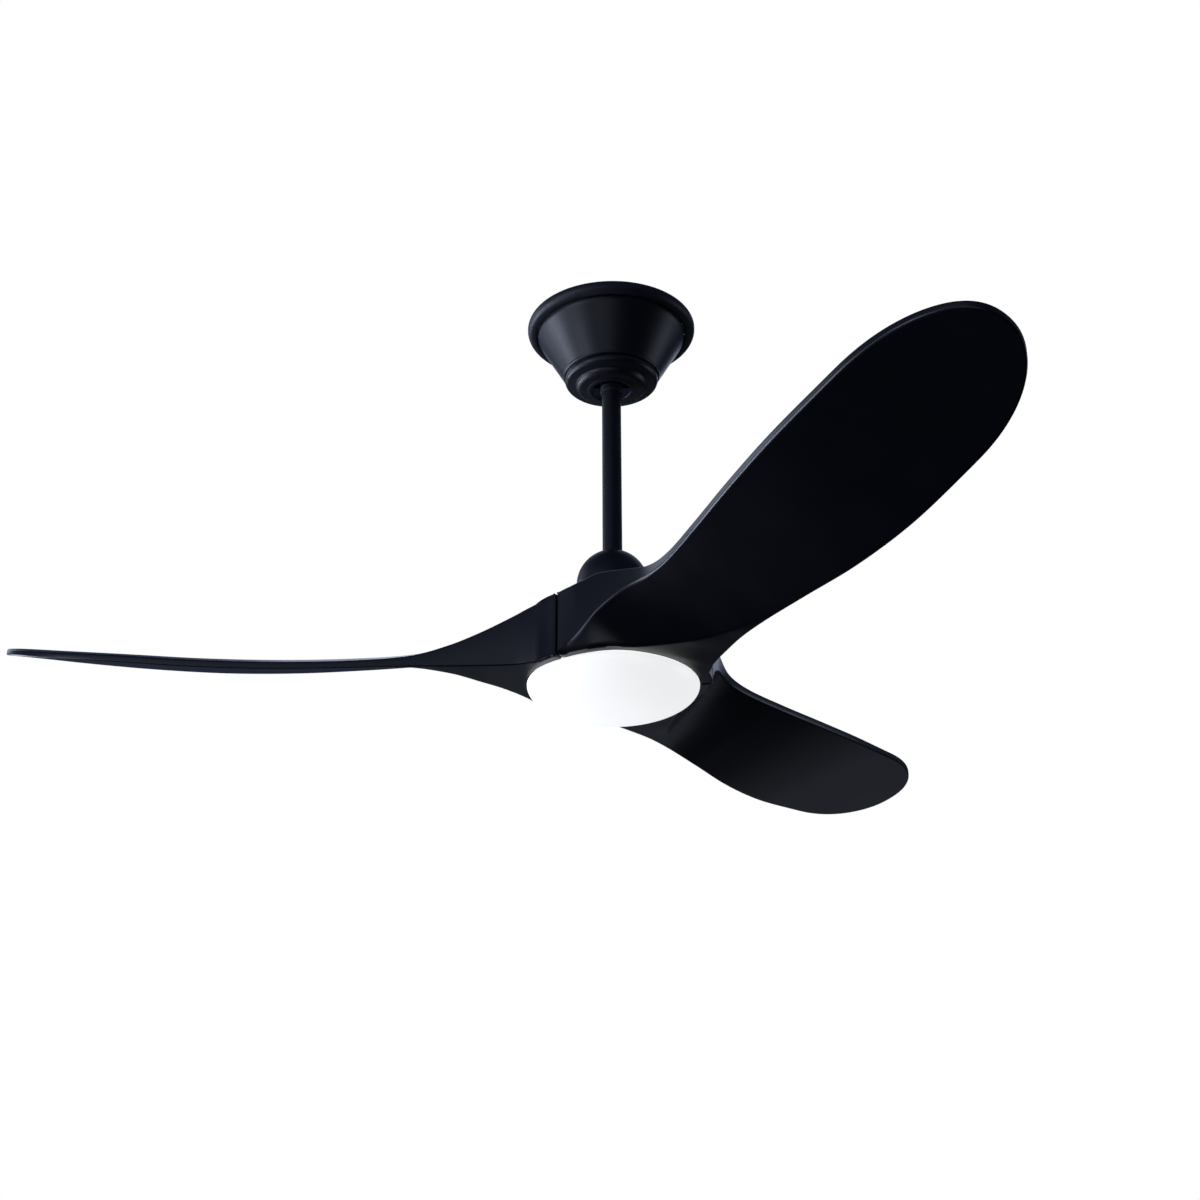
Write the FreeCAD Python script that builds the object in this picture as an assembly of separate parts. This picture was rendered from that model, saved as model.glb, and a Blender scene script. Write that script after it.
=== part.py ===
"""Ceiling fan with an LED light: three carved blades, a down rod and a ball-hung canopy.

Millimetres, +Z up. The origin is the middle of the hanger bracket's ceiling face, so
the whole fan hangs below z = 0. Each sub-part is written to its own STEP file.
"""
import FreeCAD, Part
import math
import os

os.makedirs("parts", exist_ok=True)
V = FreeCAD.Vector
UP = V(0, 0, 1)

# ---- driving dimensions ----------------------------------------------------------
SWEEP_R = 660.0            # blade tip radius: the 1320 mm (52 inch) class
RIM_Z = -443.0             # plane of the light's rim, under the ceiling
HUB_H = 68.0               # height of the carved hub at the seams between blades
SEAM_GAP = 2.2             # open joint between two neighbouring blade roots
PARKED_TURN = -3.9         # where blade 1 stands at rest, from the -X direction

ROD_R, ROD_BORE = 10.65, 8.2       # half-inch steel pipe
ROD_TOP, ROD_END = -31.0, -324.0   # a 293 mm down rod
BALL_Z, BALL_R = -56.0, 20.0       # hanger ball
SLEEVE_R, SLEEVE_TOP, SLEEVE_END = 12.3, -77.0, -90.0   # rubber sleeve in the mouth

CANOPY_R = 83.2            # canopy where it meets its trim ring
RING_R, RING_H = 95.0, 14.0
MOUTH_Z, MOUTH_R = -85.0, 21.0
SHEET = 1.5                # pressed steel thickness

COVER_R, COVER_TOP, COVER_END = 38.5, -288.0, -329.7
YOKE_R, YOKE_TOP, YOKE_FOOT = 16.0, -301.0, -330.0

SHAFT_R, SHAFT_BORE, SHAFT_END = 8.5, 7.2, -436.0
HOUSING_R, HOUSING_WALL = 84.0, 5.0
HOUSING_END, HOUSING_SPLIT = -423.0, -392.0
HOUSING_CROWN = -337.0     # top of the boss round the upper bearing
ROOT_BORE = 86.0           # bore of the blade roots, round the motor
FLANGE_SINK = 6.0          # the flange and its screws lie this far under the hub's top
ROOT_TOP = RIM_Z + HUB_H - FLANGE_SINK
FLANGE_R, FLANGE_H = 98.0, 3.0

LENS_R, LENS_DEPTH, LENS_T = 90.0, 30.0, 2.5
LIGHT_BORE = 91.5          # bore of the blade roots, round the light
LIGHT_BORE_TOP = HOUSING_END - 2.0
BLADES = 3
BLADE_PITCH = 360.0 / BLADES


# ---- common building blocks ------------------------------------------------------
def write(name, shape):
    """One sub-part, one STEP file, with its volume printed as a quick check."""
    shape.exportStep("parts/" + name + ".step")
    print(f"{name:26s} solids {len(shape.Solids):3d}  volume {shape.Volume / 1000:9.2f} cm3")


def turned(start, *steps):
    """A solid of revolution about Z from an (r, z) outline.

    Each step is a point (r, z) for a straight run, or a pair of points for an arc
    through the first point to the second.
    """
    edges = []
    here = V(start[0], 0, start[1])
    first = here
    for step in steps + (start,):
        if isinstance(step[0], tuple):
            middle, end = (V(r, 0, z) for r, z in step)
            edges.append(Part.Arc(here, middle, end).toShape())
        else:
            end = V(step[0], 0, step[1])
            if end.distanceToPoint(here) < 1e-6:
                continue
            edges.append(Part.makeLine(here, end))
        here = end
    face = Part.Face(Part.Wire(edges))
    return face.revolve(V(0, 0, 0), UP, 360)


def tube(outer, inner, low, high):
    """An upright tube about the Z axis."""
    shape = Part.makeCylinder(outer, high - low, V(0, 0, low))
    return shape.cut(Part.makeCylinder(inner, high - low, V(0, 0, low)))


def box(x0, x1, y0, y1, z0, z1):
    """A box between two corners."""
    return Part.makeBox(x1 - x0, y1 - y0, z1 - z0, V(x0, y0, z0))


def rod(radius, start, end):
    """A round bar between two points."""
    a, b = V(*start), V(*end)
    return Part.makeCylinder(radius, a.distanceToPoint(b), a, b - a)


def spun(shape, degrees):
    """A copy turned about the fan's axis."""
    copy = shape.copy()
    copy.rotate(V(0, 0, 0), UP, degrees)
    return copy


def ring_of(shape, count, first=0.0):
    """Equal copies round the fan's axis."""
    return [spun(shape, first + 360.0 * i / count) for i in range(count)]


def bent_wire(corners, radius, turn):
    """A round wire along straight runs joined by tangent arcs of one radius."""
    points = [V(*corner) for corner in corners]
    edges = []
    here = points[0]
    for before, corner, after in zip(points, points[1:], points[2:]):
        back = (before - corner).normalize()
        ahead = (after - corner).normalize()
        half = back.getAngle(ahead) / 2
        reach = turn / math.tan(half)
        a, b = corner + back * reach, corner + ahead * reach
        middle_way = (back + ahead).normalize()
        middle = corner + middle_way * (turn / math.sin(half) - turn)
        edges += [Part.makeLine(here, a), Part.Arc(a, middle, b).toShape()]
        here = b
    edges.append(Part.makeLine(here, points[-1]))
    section = Part.Wire(Part.makeCircle(radius, points[0], points[1] - points[0]))
    return Part.Wire(edges).makePipeShell([section], True, True)


def screw(radius, length, head_r, head_h, place, towards):
    """A pan-head screw whose head's seat is at place; the shank runs towards."""
    axis = V(*towards).normalize()
    seat = V(*place)
    shank = Part.makeCylinder(radius, length, seat, axis)
    head = Part.makeCylinder(head_r, head_h, seat - axis * head_h, axis)
    recess = Part.makeCylinder(head_r * 0.42, head_h * 0.55, seat - axis * head_h, axis)
    return shank.fuse(head).cut(recess)


# ---- hanger bracket: U-shaped strap with a socket for the ball ---------------------
STRAP_HALF, STRAP_WIDE, STRAP_T = 79.0, 38.0, 2.5
LEG_X, SEAT_Z, SEAT_HOLE = 31.0, -68.0, 14.6
SLOT_SPACING, SLOT_R, SLOT_LENGTH = 89.0, 2.75, 16.0
EAR_DROP = 13.0
EAR_SCREW_Z = -7.0


def hanger_bracket():
    """Ceiling strap, two ears for the canopy, two legs and the ball's socket."""
    half = STRAP_WIDE / 2
    shape = box(-STRAP_HALF, STRAP_HALF, -half, half, -STRAP_T, 0)
    for side in (-1, 1):
        ear = sorted((side * STRAP_HALF, side * (STRAP_HALF - STRAP_T)))
        shape = shape.fuse(box(*ear, -half / 2, half / 2, -EAR_DROP, 0))
        leg = sorted((side * LEG_X, side * (LEG_X - STRAP_T)))
        shape = shape.fuse(box(*leg, -half, half, SEAT_Z, 0))
    seat = box(-LEG_X, LEG_X, -half, half, SEAT_Z - STRAP_T, SEAT_Z + STRAP_T)
    seat = seat.cut(Part.makeCylinder(SEAT_HOLE, 20, V(0, 0, SEAT_Z - 10)))
    entry = ROD_R + 2.0
    seat = seat.cut(box(-entry, entry, 0, half + 1, SEAT_Z - 10, SEAT_Z + 10))
    shape = shape.fuse(seat)
    shape = shape.cut(Part.makeSphere(BALL_R + 0.3, V(0, 0, BALL_Z)))
    for side in (-1, 1):
        middle = side * SLOT_SPACING / 2
        run = SLOT_LENGTH / 2 - SLOT_R
        slot = box(middle - run, middle + run, -SLOT_R, SLOT_R, -STRAP_T - 1, 1)
        for end in (-run, run):
            slot = slot.fuse(Part.makeCylinder(SLOT_R, 5, V(middle + end, 0, -4)))
        shape = shape.cut(slot)
        shape = shape.cut(rod(2.0, (side * 60, 0, EAR_SCREW_Z), (side * 90, 0, EAR_SCREW_Z)))
    return shape.removeSplitter()


# ---- canopy: spun bell with two rolled steps at its mouth --------------------------
def canopy():
    """Straight cone, two rolled beads and an open mouth for the ball's sleeve."""
    t = SHEET
    top, cone_end = -0.5, -66.0
    shape = turned(
        (CANOPY_R, top), (CANOPY_R, -RING_H - 1),
        ((CANOPY_R - 0.6, -17.6), (CANOPY_R - 2.0, -20.0)),
        (54.6, cone_end), ((53.6, -68.2), (51.2, -68.8)),
        ((52.0, -73.8), (48.5, -77.4)), (40.0, -78.6),
        ((37.9, -82.4), (34.0, -84.4)), (27.0, MOUTH_Z), ((23.6, -86.0), (MOUTH_R, MOUTH_Z)),
        (MOUTH_R, MOUTH_Z + t), ((23.6, -84.4), (27.0, MOUTH_Z + t)), (33.3, -82.9),
        ((36.1, -81.4), (37.5, -78.0)), (38.1, -77.0), (47.8, -76.0),
        ((50.0, -74.0), (50.0, -71.2)), (49.2, -67.4), (52.8, -65.6),
        (CANOPY_R - t - 2.2, -20.0), (CANOPY_R - t, -15.0), (CANOPY_R - t, top),
    )
    for side in (-1, 1):
        shape = shape.cut(rod(2.2, (side * 70, 0, EAR_SCREW_Z), (side * 95, 0, EAR_SCREW_Z)))
    return shape


def canopy_ring():
    """Rounded trim ring that snaps over the canopy's top and hides its screws."""
    inner = CANOPY_R + 3.4
    shape = turned(
        (inner, -0.3), (89.6, -0.3),
        ((93.6, -2.2), (RING_R, -6.8)), ((93.4, -11.6), (89.1, -13.9)),
        ((86.6, -14.0), (CANOPY_R + 0.3, -12.4)), (CANOPY_R + 0.3, -10.6), (inner, -10.6),
    )
    return shape


# ---- coupling cover: the small dome that slides up the rod -------------------------
def coupling_cover():
    """Thin dome, open below, with a hole that runs on the rod."""
    t = SHEET
    height = COVER_TOP - COVER_END - 3.0
    base = COVER_END + 3.0

    def on_dome(radius, rise, angle):
        turn = math.radians(angle)
        return (radius * math.cos(turn), base + rise * math.sin(turn))

    hole = ROD_R + 0.3
    high = math.degrees(math.acos((hole + 1.2) / COVER_R))
    high_in = math.degrees(math.acos((hole + 1.2) / (COVER_R - t)))
    outside = [on_dome(COVER_R, height, high * i / 12) for i in range(13)]
    inside = [on_dome(COVER_R - t, height - t, high_in * i / 12) for i in range(12, -1, -1)]
    outer_curve = Part.BSplineCurve()
    outer_curve.interpolate([V(r, 0, z) for r, z in outside])
    inner_curve = Part.BSplineCurve()
    inner_curve.interpolate([V(r, 0, z) for r, z in inside])
    corners = [outside[-1], (hole, outside[-1][1]), (hole, inside[0][1]), inside[0]]
    edges = [outer_curve.toShape()]
    edges += [
        Part.makeLine(V(a[0], 0, a[1]), V(b[0], 0, b[1]))
        for a, b in zip(corners, corners[1:])
    ]
    edges.append(inner_curve.toShape())
    foot = [inside[-1], (COVER_R - t, COVER_END), (COVER_R, COVER_END), outside[0]]
    edges += [
        Part.makeLine(V(a[0], 0, a[1]), V(b[0], 0, b[1])) for a, b in zip(foot, foot[1:])
    ]
    return Part.Face(Part.Wire(edges)).revolve(V(0, 0, 0), UP, 360)


# ---- down rod, hanger ball and what locks them together ----------------------------
PIN_R, BALL_PIN_Z = 3.0, BALL_Z
CLEVIS_R, CLEVIS_Z = 3.0, -309.0
LOCK_Z = -317.0
LOCK_R = 2.5


def hanger_ball():
    """Ball with a bore for the rod, a cross hole and a threaded lock hole."""
    shape = Part.makeSphere(BALL_R, V(0, 0, BALL_Z))
    shape = shape.cut(Part.makeCylinder(ROD_R, 4 * BALL_R, V(0, 0, BALL_Z - 2 * BALL_R)))
    shape = shape.cut(rod(PIN_R, (-25, 0, BALL_PIN_Z), (25, 0, BALL_PIN_Z)))
    return shape.cut(rod(LOCK_R, (0, ROD_R, BALL_Z + 6), (0, 25, BALL_Z + 6)))


def downrod():
    """Steel pipe with cross holes for the ball's pin and the yoke's clevis pin."""
    shape = tube(ROD_R, ROD_BORE, ROD_END, ROD_TOP)
    for height, radius in ((BALL_PIN_Z, PIN_R), (CLEVIS_Z, CLEVIS_R)):
        shape = shape.cut(rod(radius, (-20, 0, height), (20, 0, height)))
    return shape


def motor_yoke():
    """Collar on the motor shaft: takes the rod's end and carries the cover."""
    shape = turned(
        (SHAFT_R, YOKE_FOOT - 3), (40.5, YOKE_FOOT - 3), (40.5, YOKE_FOOT),
        (24.0, YOKE_FOOT), ((18.4, YOKE_FOOT + 1.8), (YOKE_R, YOKE_FOOT + 7)),
        (YOKE_R, YOKE_TOP), (ROD_R + 0.1, YOKE_TOP), (ROD_R + 0.1, ROD_END), (SHAFT_R, ROD_END),
    )
    shape = shape.cut(rod(CLEVIS_R, (-30, 0, CLEVIS_Z), (30, 0, CLEVIS_Z)))
    return shape.cut(rod(LOCK_R, (0, -30, LOCK_Z), (0, 30, LOCK_Z)))


def clevis_pin():
    """Headed pin through the yoke and the rod, drilled for its clip."""
    shape = rod(CLEVIS_R, (-YOKE_R - 0.2, 0, CLEVIS_Z), (YOKE_R + 6, 0, CLEVIS_Z))
    shape = shape.fuse(rod(5.0, (-YOKE_R - 2.6, 0, CLEVIS_Z), (-YOKE_R, 0, CLEVIS_Z)))
    hole_x = YOKE_R + 3
    return shape.cut(rod(0.9, (hole_x, 0, CLEVIS_Z - 5), (hole_x, 0, CLEVIS_Z + 5)))


def hairpin_clip():
    """Spring wire clip: one leg through the pin's hole, one bowed leg outside."""
    wire_r, x, top, foot = 0.8, YOKE_R + 3.0, CLEVIS_Z + 9, CLEVIS_Z - 7
    path = Part.Wire([
        Part.makeLine(V(x, 0, foot), V(x, 0, top)),
        Part.Arc(V(x, 0, top), V(x, 2.4, top + 2.4), V(x, 4.8, top)).toShape(),
        Part.makeLine(V(x, 4.8, top), V(x, 4.8, foot + 4)),
    ])
    section = Part.Wire(Part.makeCircle(wire_r, V(x, 0, foot), UP))
    return path.makePipeShell([section], True, True)


# ---- motor: shaft, bearings, stator, magnets and the turning housing ---------------
BEARING_W, BEARING_PITCH, BALL_BEARING_R, BEARING_OD = 10.0, 13.0, 2.38, 17.5
UPPER_BEARING, LOWER_BEARING = -349.0, -412.0
STATOR_R, STATOR_LOW, STATOR_HIGH, TEETH = 69.2, -400.0, -376.0, 9
MAGNET_IN, MAGNET_OUT, MAGNETS = 70.2, 74.0, 12
FLUX_LOW, FLUX_HIGH = -402.0, -374.0


def motor_shaft():
    """Hollow fixed shaft, from the yoke to the light."""
    return tube(SHAFT_R, SHAFT_BORE, SHAFT_END, ROD_END)


def race(middle, inner):
    """One bearing race with a round groove for the balls."""
    low, high = middle - BEARING_W / 2, middle + BEARING_W / 2
    shape = tube(11.6, SHAFT_R, low, high) if inner else tube(BEARING_OD, 14.4, low, high)
    return shape.cut(Part.makeTorus(BEARING_PITCH, BALL_BEARING_R + 0.04, V(0, 0, middle)))


BEARING_BALLS = 9


def bearing_balls(middle):
    """The balls of one bearing."""
    ball = Part.makeSphere(BALL_BEARING_R, V(BEARING_PITCH, 0, middle))
    return Part.makeCompound(ring_of(ball, BEARING_BALLS))


def bearing_cage(middle):
    """Crown cage: a ring beside the balls with a finger between each pair."""
    shape = tube(13.9, 12.1, middle + 2.7, middle + 3.9)
    finger = box(12.2, 13.8, -1.6, 1.6, middle - 2.4, middle + 3.3)
    step = 360.0 / BEARING_BALLS
    for piece in ring_of(finger, BEARING_BALLS, step / 2):
        shape = shape.fuse(piece)
    return shape


def stator_core():
    """Laminated core: a hub, straight teeth and wide tooth faces."""
    tall = STATOR_HIGH - STATOR_LOW
    shape = Part.makeCylinder(27, tall, V(0, 0, STATOR_LOW))
    face = tube(STATOR_R, STATOR_R - 4.2, STATOR_LOW, STATOR_HIGH)
    slot = box(STATOR_R - 8, STATOR_R + 2, -2.2, 2.2, STATOR_LOW - 1, STATOR_HIGH + 1)
    for piece in ring_of(slot, TEETH, 180.0 / TEETH):
        face = face.cut(piece)
    tooth = box(20, STATOR_R - 2, -5, 5, STATOR_LOW, STATOR_HIGH)
    for piece in ring_of(tooth, TEETH):
        shape = shape.fuse(piece)
    shape = shape.fuse(face)
    return shape.cut(Part.makeCylinder(SHAFT_R, tall, V(0, 0, STATOR_LOW))).removeSplitter()


def stator_coils():
    """One wound coil round each tooth."""
    outer = box(32.5, 61.5, -10.5, 10.5, STATOR_LOW - 5.5, STATOR_HIGH + 5.5)
    wedge = Part.makePolygon([V(0, 0, -418), V(90, -31.5, -418), V(90, 31.5, -418), V(0, 0, -418)])
    wedge = Part.Face(wedge).extrude(V(0, 0, 60))
    core = box(30, 64, -5.2, 5.2, STATOR_LOW - 0.2, STATOR_HIGH + 0.2)
    return Part.makeCompound(ring_of(outer.common(wedge).cut(core), TEETH))


def magnets():
    """Arc magnets inside the flux ring."""
    whole = tube(MAGNET_OUT, MAGNET_IN, FLUX_LOW, FLUX_HIGH)
    arc = math.radians(360.0 / MAGNETS * 0.46)
    reach = MAGNET_OUT + 10
    outline = Part.makePolygon([
        V(0, 0, FLUX_LOW), V(reach, -reach * math.tan(arc), FLUX_LOW),
        V(reach, reach * math.tan(arc), FLUX_LOW), V(0, 0, FLUX_LOW),
    ])
    sector = Part.Face(outline).extrude(V(0, 0, FLUX_HIGH - FLUX_LOW))
    return Part.makeCompound(ring_of(whole.common(sector), MAGNETS))


HOUSING_SCREWS, HOUSING_SCREW_R, HOUSING_SCREW_AT = 6, 1.5, 81.5
BLADE_SCREW_AT, BLADE_SCREW_R = 92.3, 2.4
BLADE_SCREW_TURNS = (-38.0, 0.0, 38.0)


def blade_axis(number):
    """Direction of a blade's axis at rest, in degrees."""
    return 180.0 + PARKED_TURN + BLADE_PITCH * number


def motor_housing_upper():
    """Cast crown with the upper bearing's seat and the flange the blades hang on."""
    inner = HOUSING_R - HOUSING_WALL
    seat = UPPER_BEARING - BEARING_W / 2
    shape = turned(
        (HOUSING_R, HOUSING_SPLIT), (HOUSING_R, ROOT_TOP), (FLANGE_R, ROOT_TOP),
        (FLANGE_R, ROOT_TOP + FLANGE_H - 1), (FLANGE_R - 1, ROOT_TOP + FLANGE_H),
        (HOUSING_R + 1, ROOT_TOP + FLANGE_H), ((81.5, -365.0), (74.0, -359.5)), (42.0, -347.0),
        ((32.0, -340.6), (24.0, HOUSING_CROWN)), (14.0, HOUSING_CROWN),
        (14.0, seat + BEARING_W), (BEARING_OD, seat + BEARING_W), (BEARING_OD, seat),
        (27.0, seat), (40.0, -356.0), (72.0, -365.5), (inner, -373.0), (inner, HOUSING_SPLIT),
    )
    drill = Part.makeCylinder(HOUSING_SCREW_R, 12, V(HOUSING_SCREW_AT, 0, HOUSING_SPLIT))
    for piece in ring_of(drill, HOUSING_SCREWS, 30.0):
        shape = shape.cut(piece)
    drill = Part.makeCylinder(BLADE_SCREW_R, 20, V(BLADE_SCREW_AT, 0, ROOT_TOP - 10))
    for number in range(BLADES):
        for turn in BLADE_SCREW_TURNS:
            shape = shape.cut(spun(drill, blade_axis(number) + turn))
    return shape


def motor_housing_lower():
    """Cast cup that closes the motor from below and seats the lower bearing."""
    inner = HOUSING_R - HOUSING_WALL
    low, high = LOWER_BEARING - BEARING_W / 2, LOWER_BEARING + BEARING_W / 2
    shape = turned(
        (12.0, HOUSING_END), (HOUSING_R - 2, HOUSING_END), (HOUSING_R, HOUSING_END + 2),
        (HOUSING_R, HOUSING_SPLIT), (inner, HOUSING_SPLIT), (inner, HOUSING_END + 6),
        (74.0, HOUSING_END + 3.5), (30.0, HOUSING_END + 3.5), (22.0, high),
        (BEARING_OD, high), (BEARING_OD, low), (14.0, low), (14.0, HOUSING_END + 3), (12.0, HOUSING_END + 3),
    )
    drill = Part.makeCylinder(HOUSING_SCREW_R, 40, V(HOUSING_SCREW_AT, 0, HOUSING_END - 1))
    for piece in ring_of(drill, HOUSING_SCREWS, 30.0):
        shape = shape.cut(piece)
    return shape


# ---- blades: one carved shape from the hub's seams to the rounded tip --------------
# Stations along the blade: distance out; right edge's place, underside height and wall
# height; how far the flat flare's border lies in from the left edge and how far it
# drops below the straight underside; left edge's place, underside height, wall height.
# Left and right are as seen from above, looking out; heights are over the light's rim.
STATIONS = (
    (52.0, -90.0, 1.5, 66.5, 176.0, 1.0, 90.0, 0.0, 68.0),
    (70.0, -78.5, 12.5, 60.0, 147.0, 10.2, 75.5, 0.0, 65.0),
    (84.0, -72.3, 23.5, 50.5, 125.5, 17.6, 71.0, 0.2, 60.0),
    (98.0, -66.0, 34.0, 41.5, 94.0, 22.0, 66.0, 0.5, 54.0),
    (130.0, -53.0, 46.5, 22.5, 52.5, 20.0, 62.8, 2.0, 38.0),
    (165.0, -44.0, 48.0, 11.5, 21.5, 9.0, 61.0, 3.5, 23.0),
    (205.0, -43.8, 47.2, 8.4, 8.0, 1.6, 62.3, 4.0, 11.5),
    (270.0, -50.7, 47.6, 8.0, 6.0, 0.2, 66.0, 2.8, 8.0),
    (350.0, -59.4, 50.0, 8.0, 6.0, 0.2, 71.8, 2.0, 8.0),
    (430.0, -64.2, 54.5, 8.0, 6.0, 0.2, 74.3, 6.0, 8.0),
    (510.0, -63.6, 61.2, 7.6, 6.0, 0.2, 72.0, 15.0, 7.6),
    (590.0, -60.2, 69.7, 7.2, 6.0, 0.2, 66.5, 24.6, 7.2),
    (660.0, -54.8, 78.0, 6.8, 6.0, 0.2, 60.9, 34.8, 6.8),
)
TIP_START, TIP_POWER = 530.0, 2.25     # the rounded tip is a superellipse from here out
CROWN = 0.035                          # rise of the upper side, as a part of the width


def station(out):
    """All station values at one distance out, on a smooth curve through the list."""
    last = len(STATIONS) - 1
    index = max(i for i in range(last) if i == 0 or STATIONS[i][0] <= out)

    def slope(k, column):
        a, b = max(k - 1, 0), min(k + 1, last)
        rise = STATIONS[b][column] - STATIONS[a][column]
        return rise / (STATIONS[b][0] - STATIONS[a][0])

    before, after = STATIONS[index], STATIONS[index + 1]
    span = after[0] - before[0]
    t = (out - before[0]) / span
    values = []
    for column in range(1, len(before)):
        values.append(
            (2 * t**3 - 3 * t**2 + 1) * before[column]
            + (t**3 - 2 * t**2 + t) * span * slope(index, column)
            + (3 * t**2 - 2 * t**3) * after[column]
            + (t**3 - t**2) * span * slope(index + 1, column)
        )
    return values


def section_points(out):
    """Right top, right bottom, flare border, left bottom, left top and crown points."""
    right, right_z, right_wall, inset, drop, left, left_z, left_wall = station(out)
    narrow = 1.0
    if out > TIP_START:
        run = (out - TIP_START) / (SWEEP_R - TIP_START)
        narrow = max(1.0 - run**TIP_POWER, 0.0) ** (1 / TIP_POWER)
    tilt = (left_z - right_z) / (left - right)

    def under(across):
        return right_z + tilt * (across - right)

    new_right, new_left = right * narrow, left * narrow
    border = new_left - inset * narrow
    crown_v = (new_right + new_left) / 2
    top_right = under(new_right) + right_wall
    top_left = under(new_left) + left_wall
    crown_z = (top_right + top_left) / 2 + CROWN * (new_left - new_right)
    return [
        (new_right, top_right), (new_right, under(new_right)), (border, under(border) - drop),
        (new_left, under(new_left)), (new_left, top_left), (crown_v, crown_z),
    ]


def section_wire(out):
    """The closed outline of the blade at one distance out."""
    p = [V(out, across, RIM_Z + height) for across, height in section_points(out)]
    upper = Part.BSplineCurve()
    upper.interpolate([p[4], p[5], p[0]])
    edges = [Part.makeLine(p[i], p[i + 1]) for i in range(4)]
    return Part.Wire(edges + [upper.toShape()])


def blade_shape():
    """The whole blade, lying along +X, with its root cut to a third of the hub."""
    outs = [row[0] for row in STATIONS[:11]]
    end_steps = 7
    for i in range(1, end_steps + 1):
        turn = math.radians(87.0 * i / end_steps)
        outs.append(510.0 + (SWEEP_R - 510.0) * math.sin(turn))
    outs = sorted(outs + [114.0, 147.0, 185.0, 235.0, 310.0, 390.0, 470.0])
    wing = Part.makeLoft([section_wire(out) for out in outs], True, False)
    block = Part.Face(section_wire(outs[0])).extrude(V(-outs[0] - 5, 0, 0))
    shape = wing.fuse(block)
    far = SWEEP_R + 50
    half_gap = SEAM_GAP / 2
    third = math.radians(BLADE_PITCH / 2)
    start = half_gap / math.sin(third)
    outline = Part.makePolygon([
        V(start, 0, 0), V(start + far, -far * math.tan(third), 0),
        V(start + far, far * math.tan(third), 0), V(start, 0, 0),
    ])
    sector = Part.Face(outline).extrude(V(0, 0, 150))
    sector.translate(V(0, 0, RIM_Z - 20))
    shape = shape.common(sector)
    shape = shape.cut(Part.makeCylinder(ROOT_BORE, 160, V(0, 0, RIM_Z - 20)))
    shape = shape.cut(Part.makeCylinder(LIGHT_BORE, LIGHT_BORE_TOP - RIM_Z + 20, V(0, 0, RIM_Z - 20)))
    shape = shape.cut(Part.makeCylinder(FLANGE_R + 1.5, 60, V(0, 0, ROOT_TOP)))
    drill = Part.makeCylinder(BLADE_SCREW_R, 18, V(BLADE_SCREW_AT, 0, ROOT_TOP - 18))
    for turn in BLADE_SCREW_TURNS:
        shape = shape.cut(spun(drill, turn))
    return shape


# ---- light: pan, board, terminal and the twist-lock lens ---------------------------
PAN_Z, PAN_R, PAN_T = -430.4, 81.0, 1.2
BOARD_R, BOARD_T, BOARD_HOLE = 72.0, 1.6, 15.0
LUGS, LUG_Z, LUG_H, LUG_HALF, LENS_TWIST = 3, -437.0, 2.4, 4.0, 20.0


def light_pan():
    """Fixed dish under the motor; its skirt has three L-shaped slots for the lens."""
    skirt_low = LUG_Z - 3.5
    shape = turned(
        (SHAFT_R, PAN_Z), (PAN_R - PAN_T, PAN_Z), (PAN_R - PAN_T, skirt_low), (PAN_R, skirt_low),
        (PAN_R, PAN_Z + PAN_T), (SHAFT_R, PAN_Z + PAN_T),
    )
    wide = LUG_HALF + 0.8
    entry = box(PAN_R - 4, PAN_R + 2, -wide, wide, skirt_low - 1, LUG_Z + LUG_H + 0.5)
    track = tube(PAN_R + 2, PAN_R - 4, LUG_Z - 0.5, LUG_Z + LUG_H + 0.5)
    half = LENS_TWIST / 2 + math.degrees(wide / PAN_R)
    reach = PAN_R + 20
    turn = math.radians(half)
    outline = Part.makePolygon([
        V(0, 0, -458), V(reach, -reach * math.tan(turn), -458),
        V(reach, reach * math.tan(turn), -458), V(0, 0, -458),
    ])
    track = track.common(spun(Part.Face(outline).extrude(V(0, 0, 40)), LENS_TWIST / 2))
    slot = track.fuse(spun(entry, LENS_TWIST))
    for piece in ring_of(slot, LUGS):
        shape = shape.cut(piece)
    for piece in ring_of(Part.makeCylinder(1.6, 10, V(66, 0, PAN_Z - 4)), 3, 60.0):
        shape = shape.cut(piece)
    return shape


def led_board():
    """Aluminium-backed board with a hole for the shaft nut and three screw holes."""
    shape = tube(BOARD_R, BOARD_HOLE, PAN_Z - BOARD_T, PAN_Z)
    for piece in ring_of(Part.makeCylinder(1.6, 10, V(66, 0, PAN_Z - 5)), 3, 60.0):
        shape = shape.cut(piece)
    return shape


def led_chips():
    """Three rings of surface-mounted emitters on the board's underside."""
    under = PAN_Z - BOARD_T
    chips = []
    for at, count, first in ((30.0, 8, 22.5), (44.0, 12, 10.0), (58.0, 18, 10.0)):
        chip = box(at - 1.75, at + 1.75, -1.4, 1.4, under - 0.8, under)
        chips += ring_of(chip, count, first)
    return Part.makeCompound(chips)


def board_screws():
    """Three small screws that hold the board to the pan."""
    one = screw(1.6, 4.5, 3.0, 1.8, (66, 0, PAN_Z - BOARD_T), (0, 0, 1))
    return Part.makeCompound(ring_of(one, 3, 60.0))


def hex_prism(across, low, high, bore):
    """A hexagonal nut about the Z axis."""
    radius = across / math.sqrt(3)
    corners = [
        V(radius * math.cos(math.radians(60 * i)), radius * math.sin(math.radians(60 * i)), low)
        for i in range(6)
    ]
    shape = Part.Face(Part.makePolygon(corners + corners[:1])).extrude(V(0, 0, high - low))
    return shape.cut(Part.makeCylinder(bore, high - low, V(0, 0, low)))


TERMINAL_Y, WIRE_R, WIRE_Y, WIRE_TURN = 24.0, 1.3, 5.6, 4.0


def light_terminal():
    """Terminal block on the board, one way for each lamp wire."""
    under = PAN_Z - BOARD_T
    shape = box(-6, 6, TERMINAL_Y, TERMINAL_Y + 8, under - 10, under)
    return shape


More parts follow.
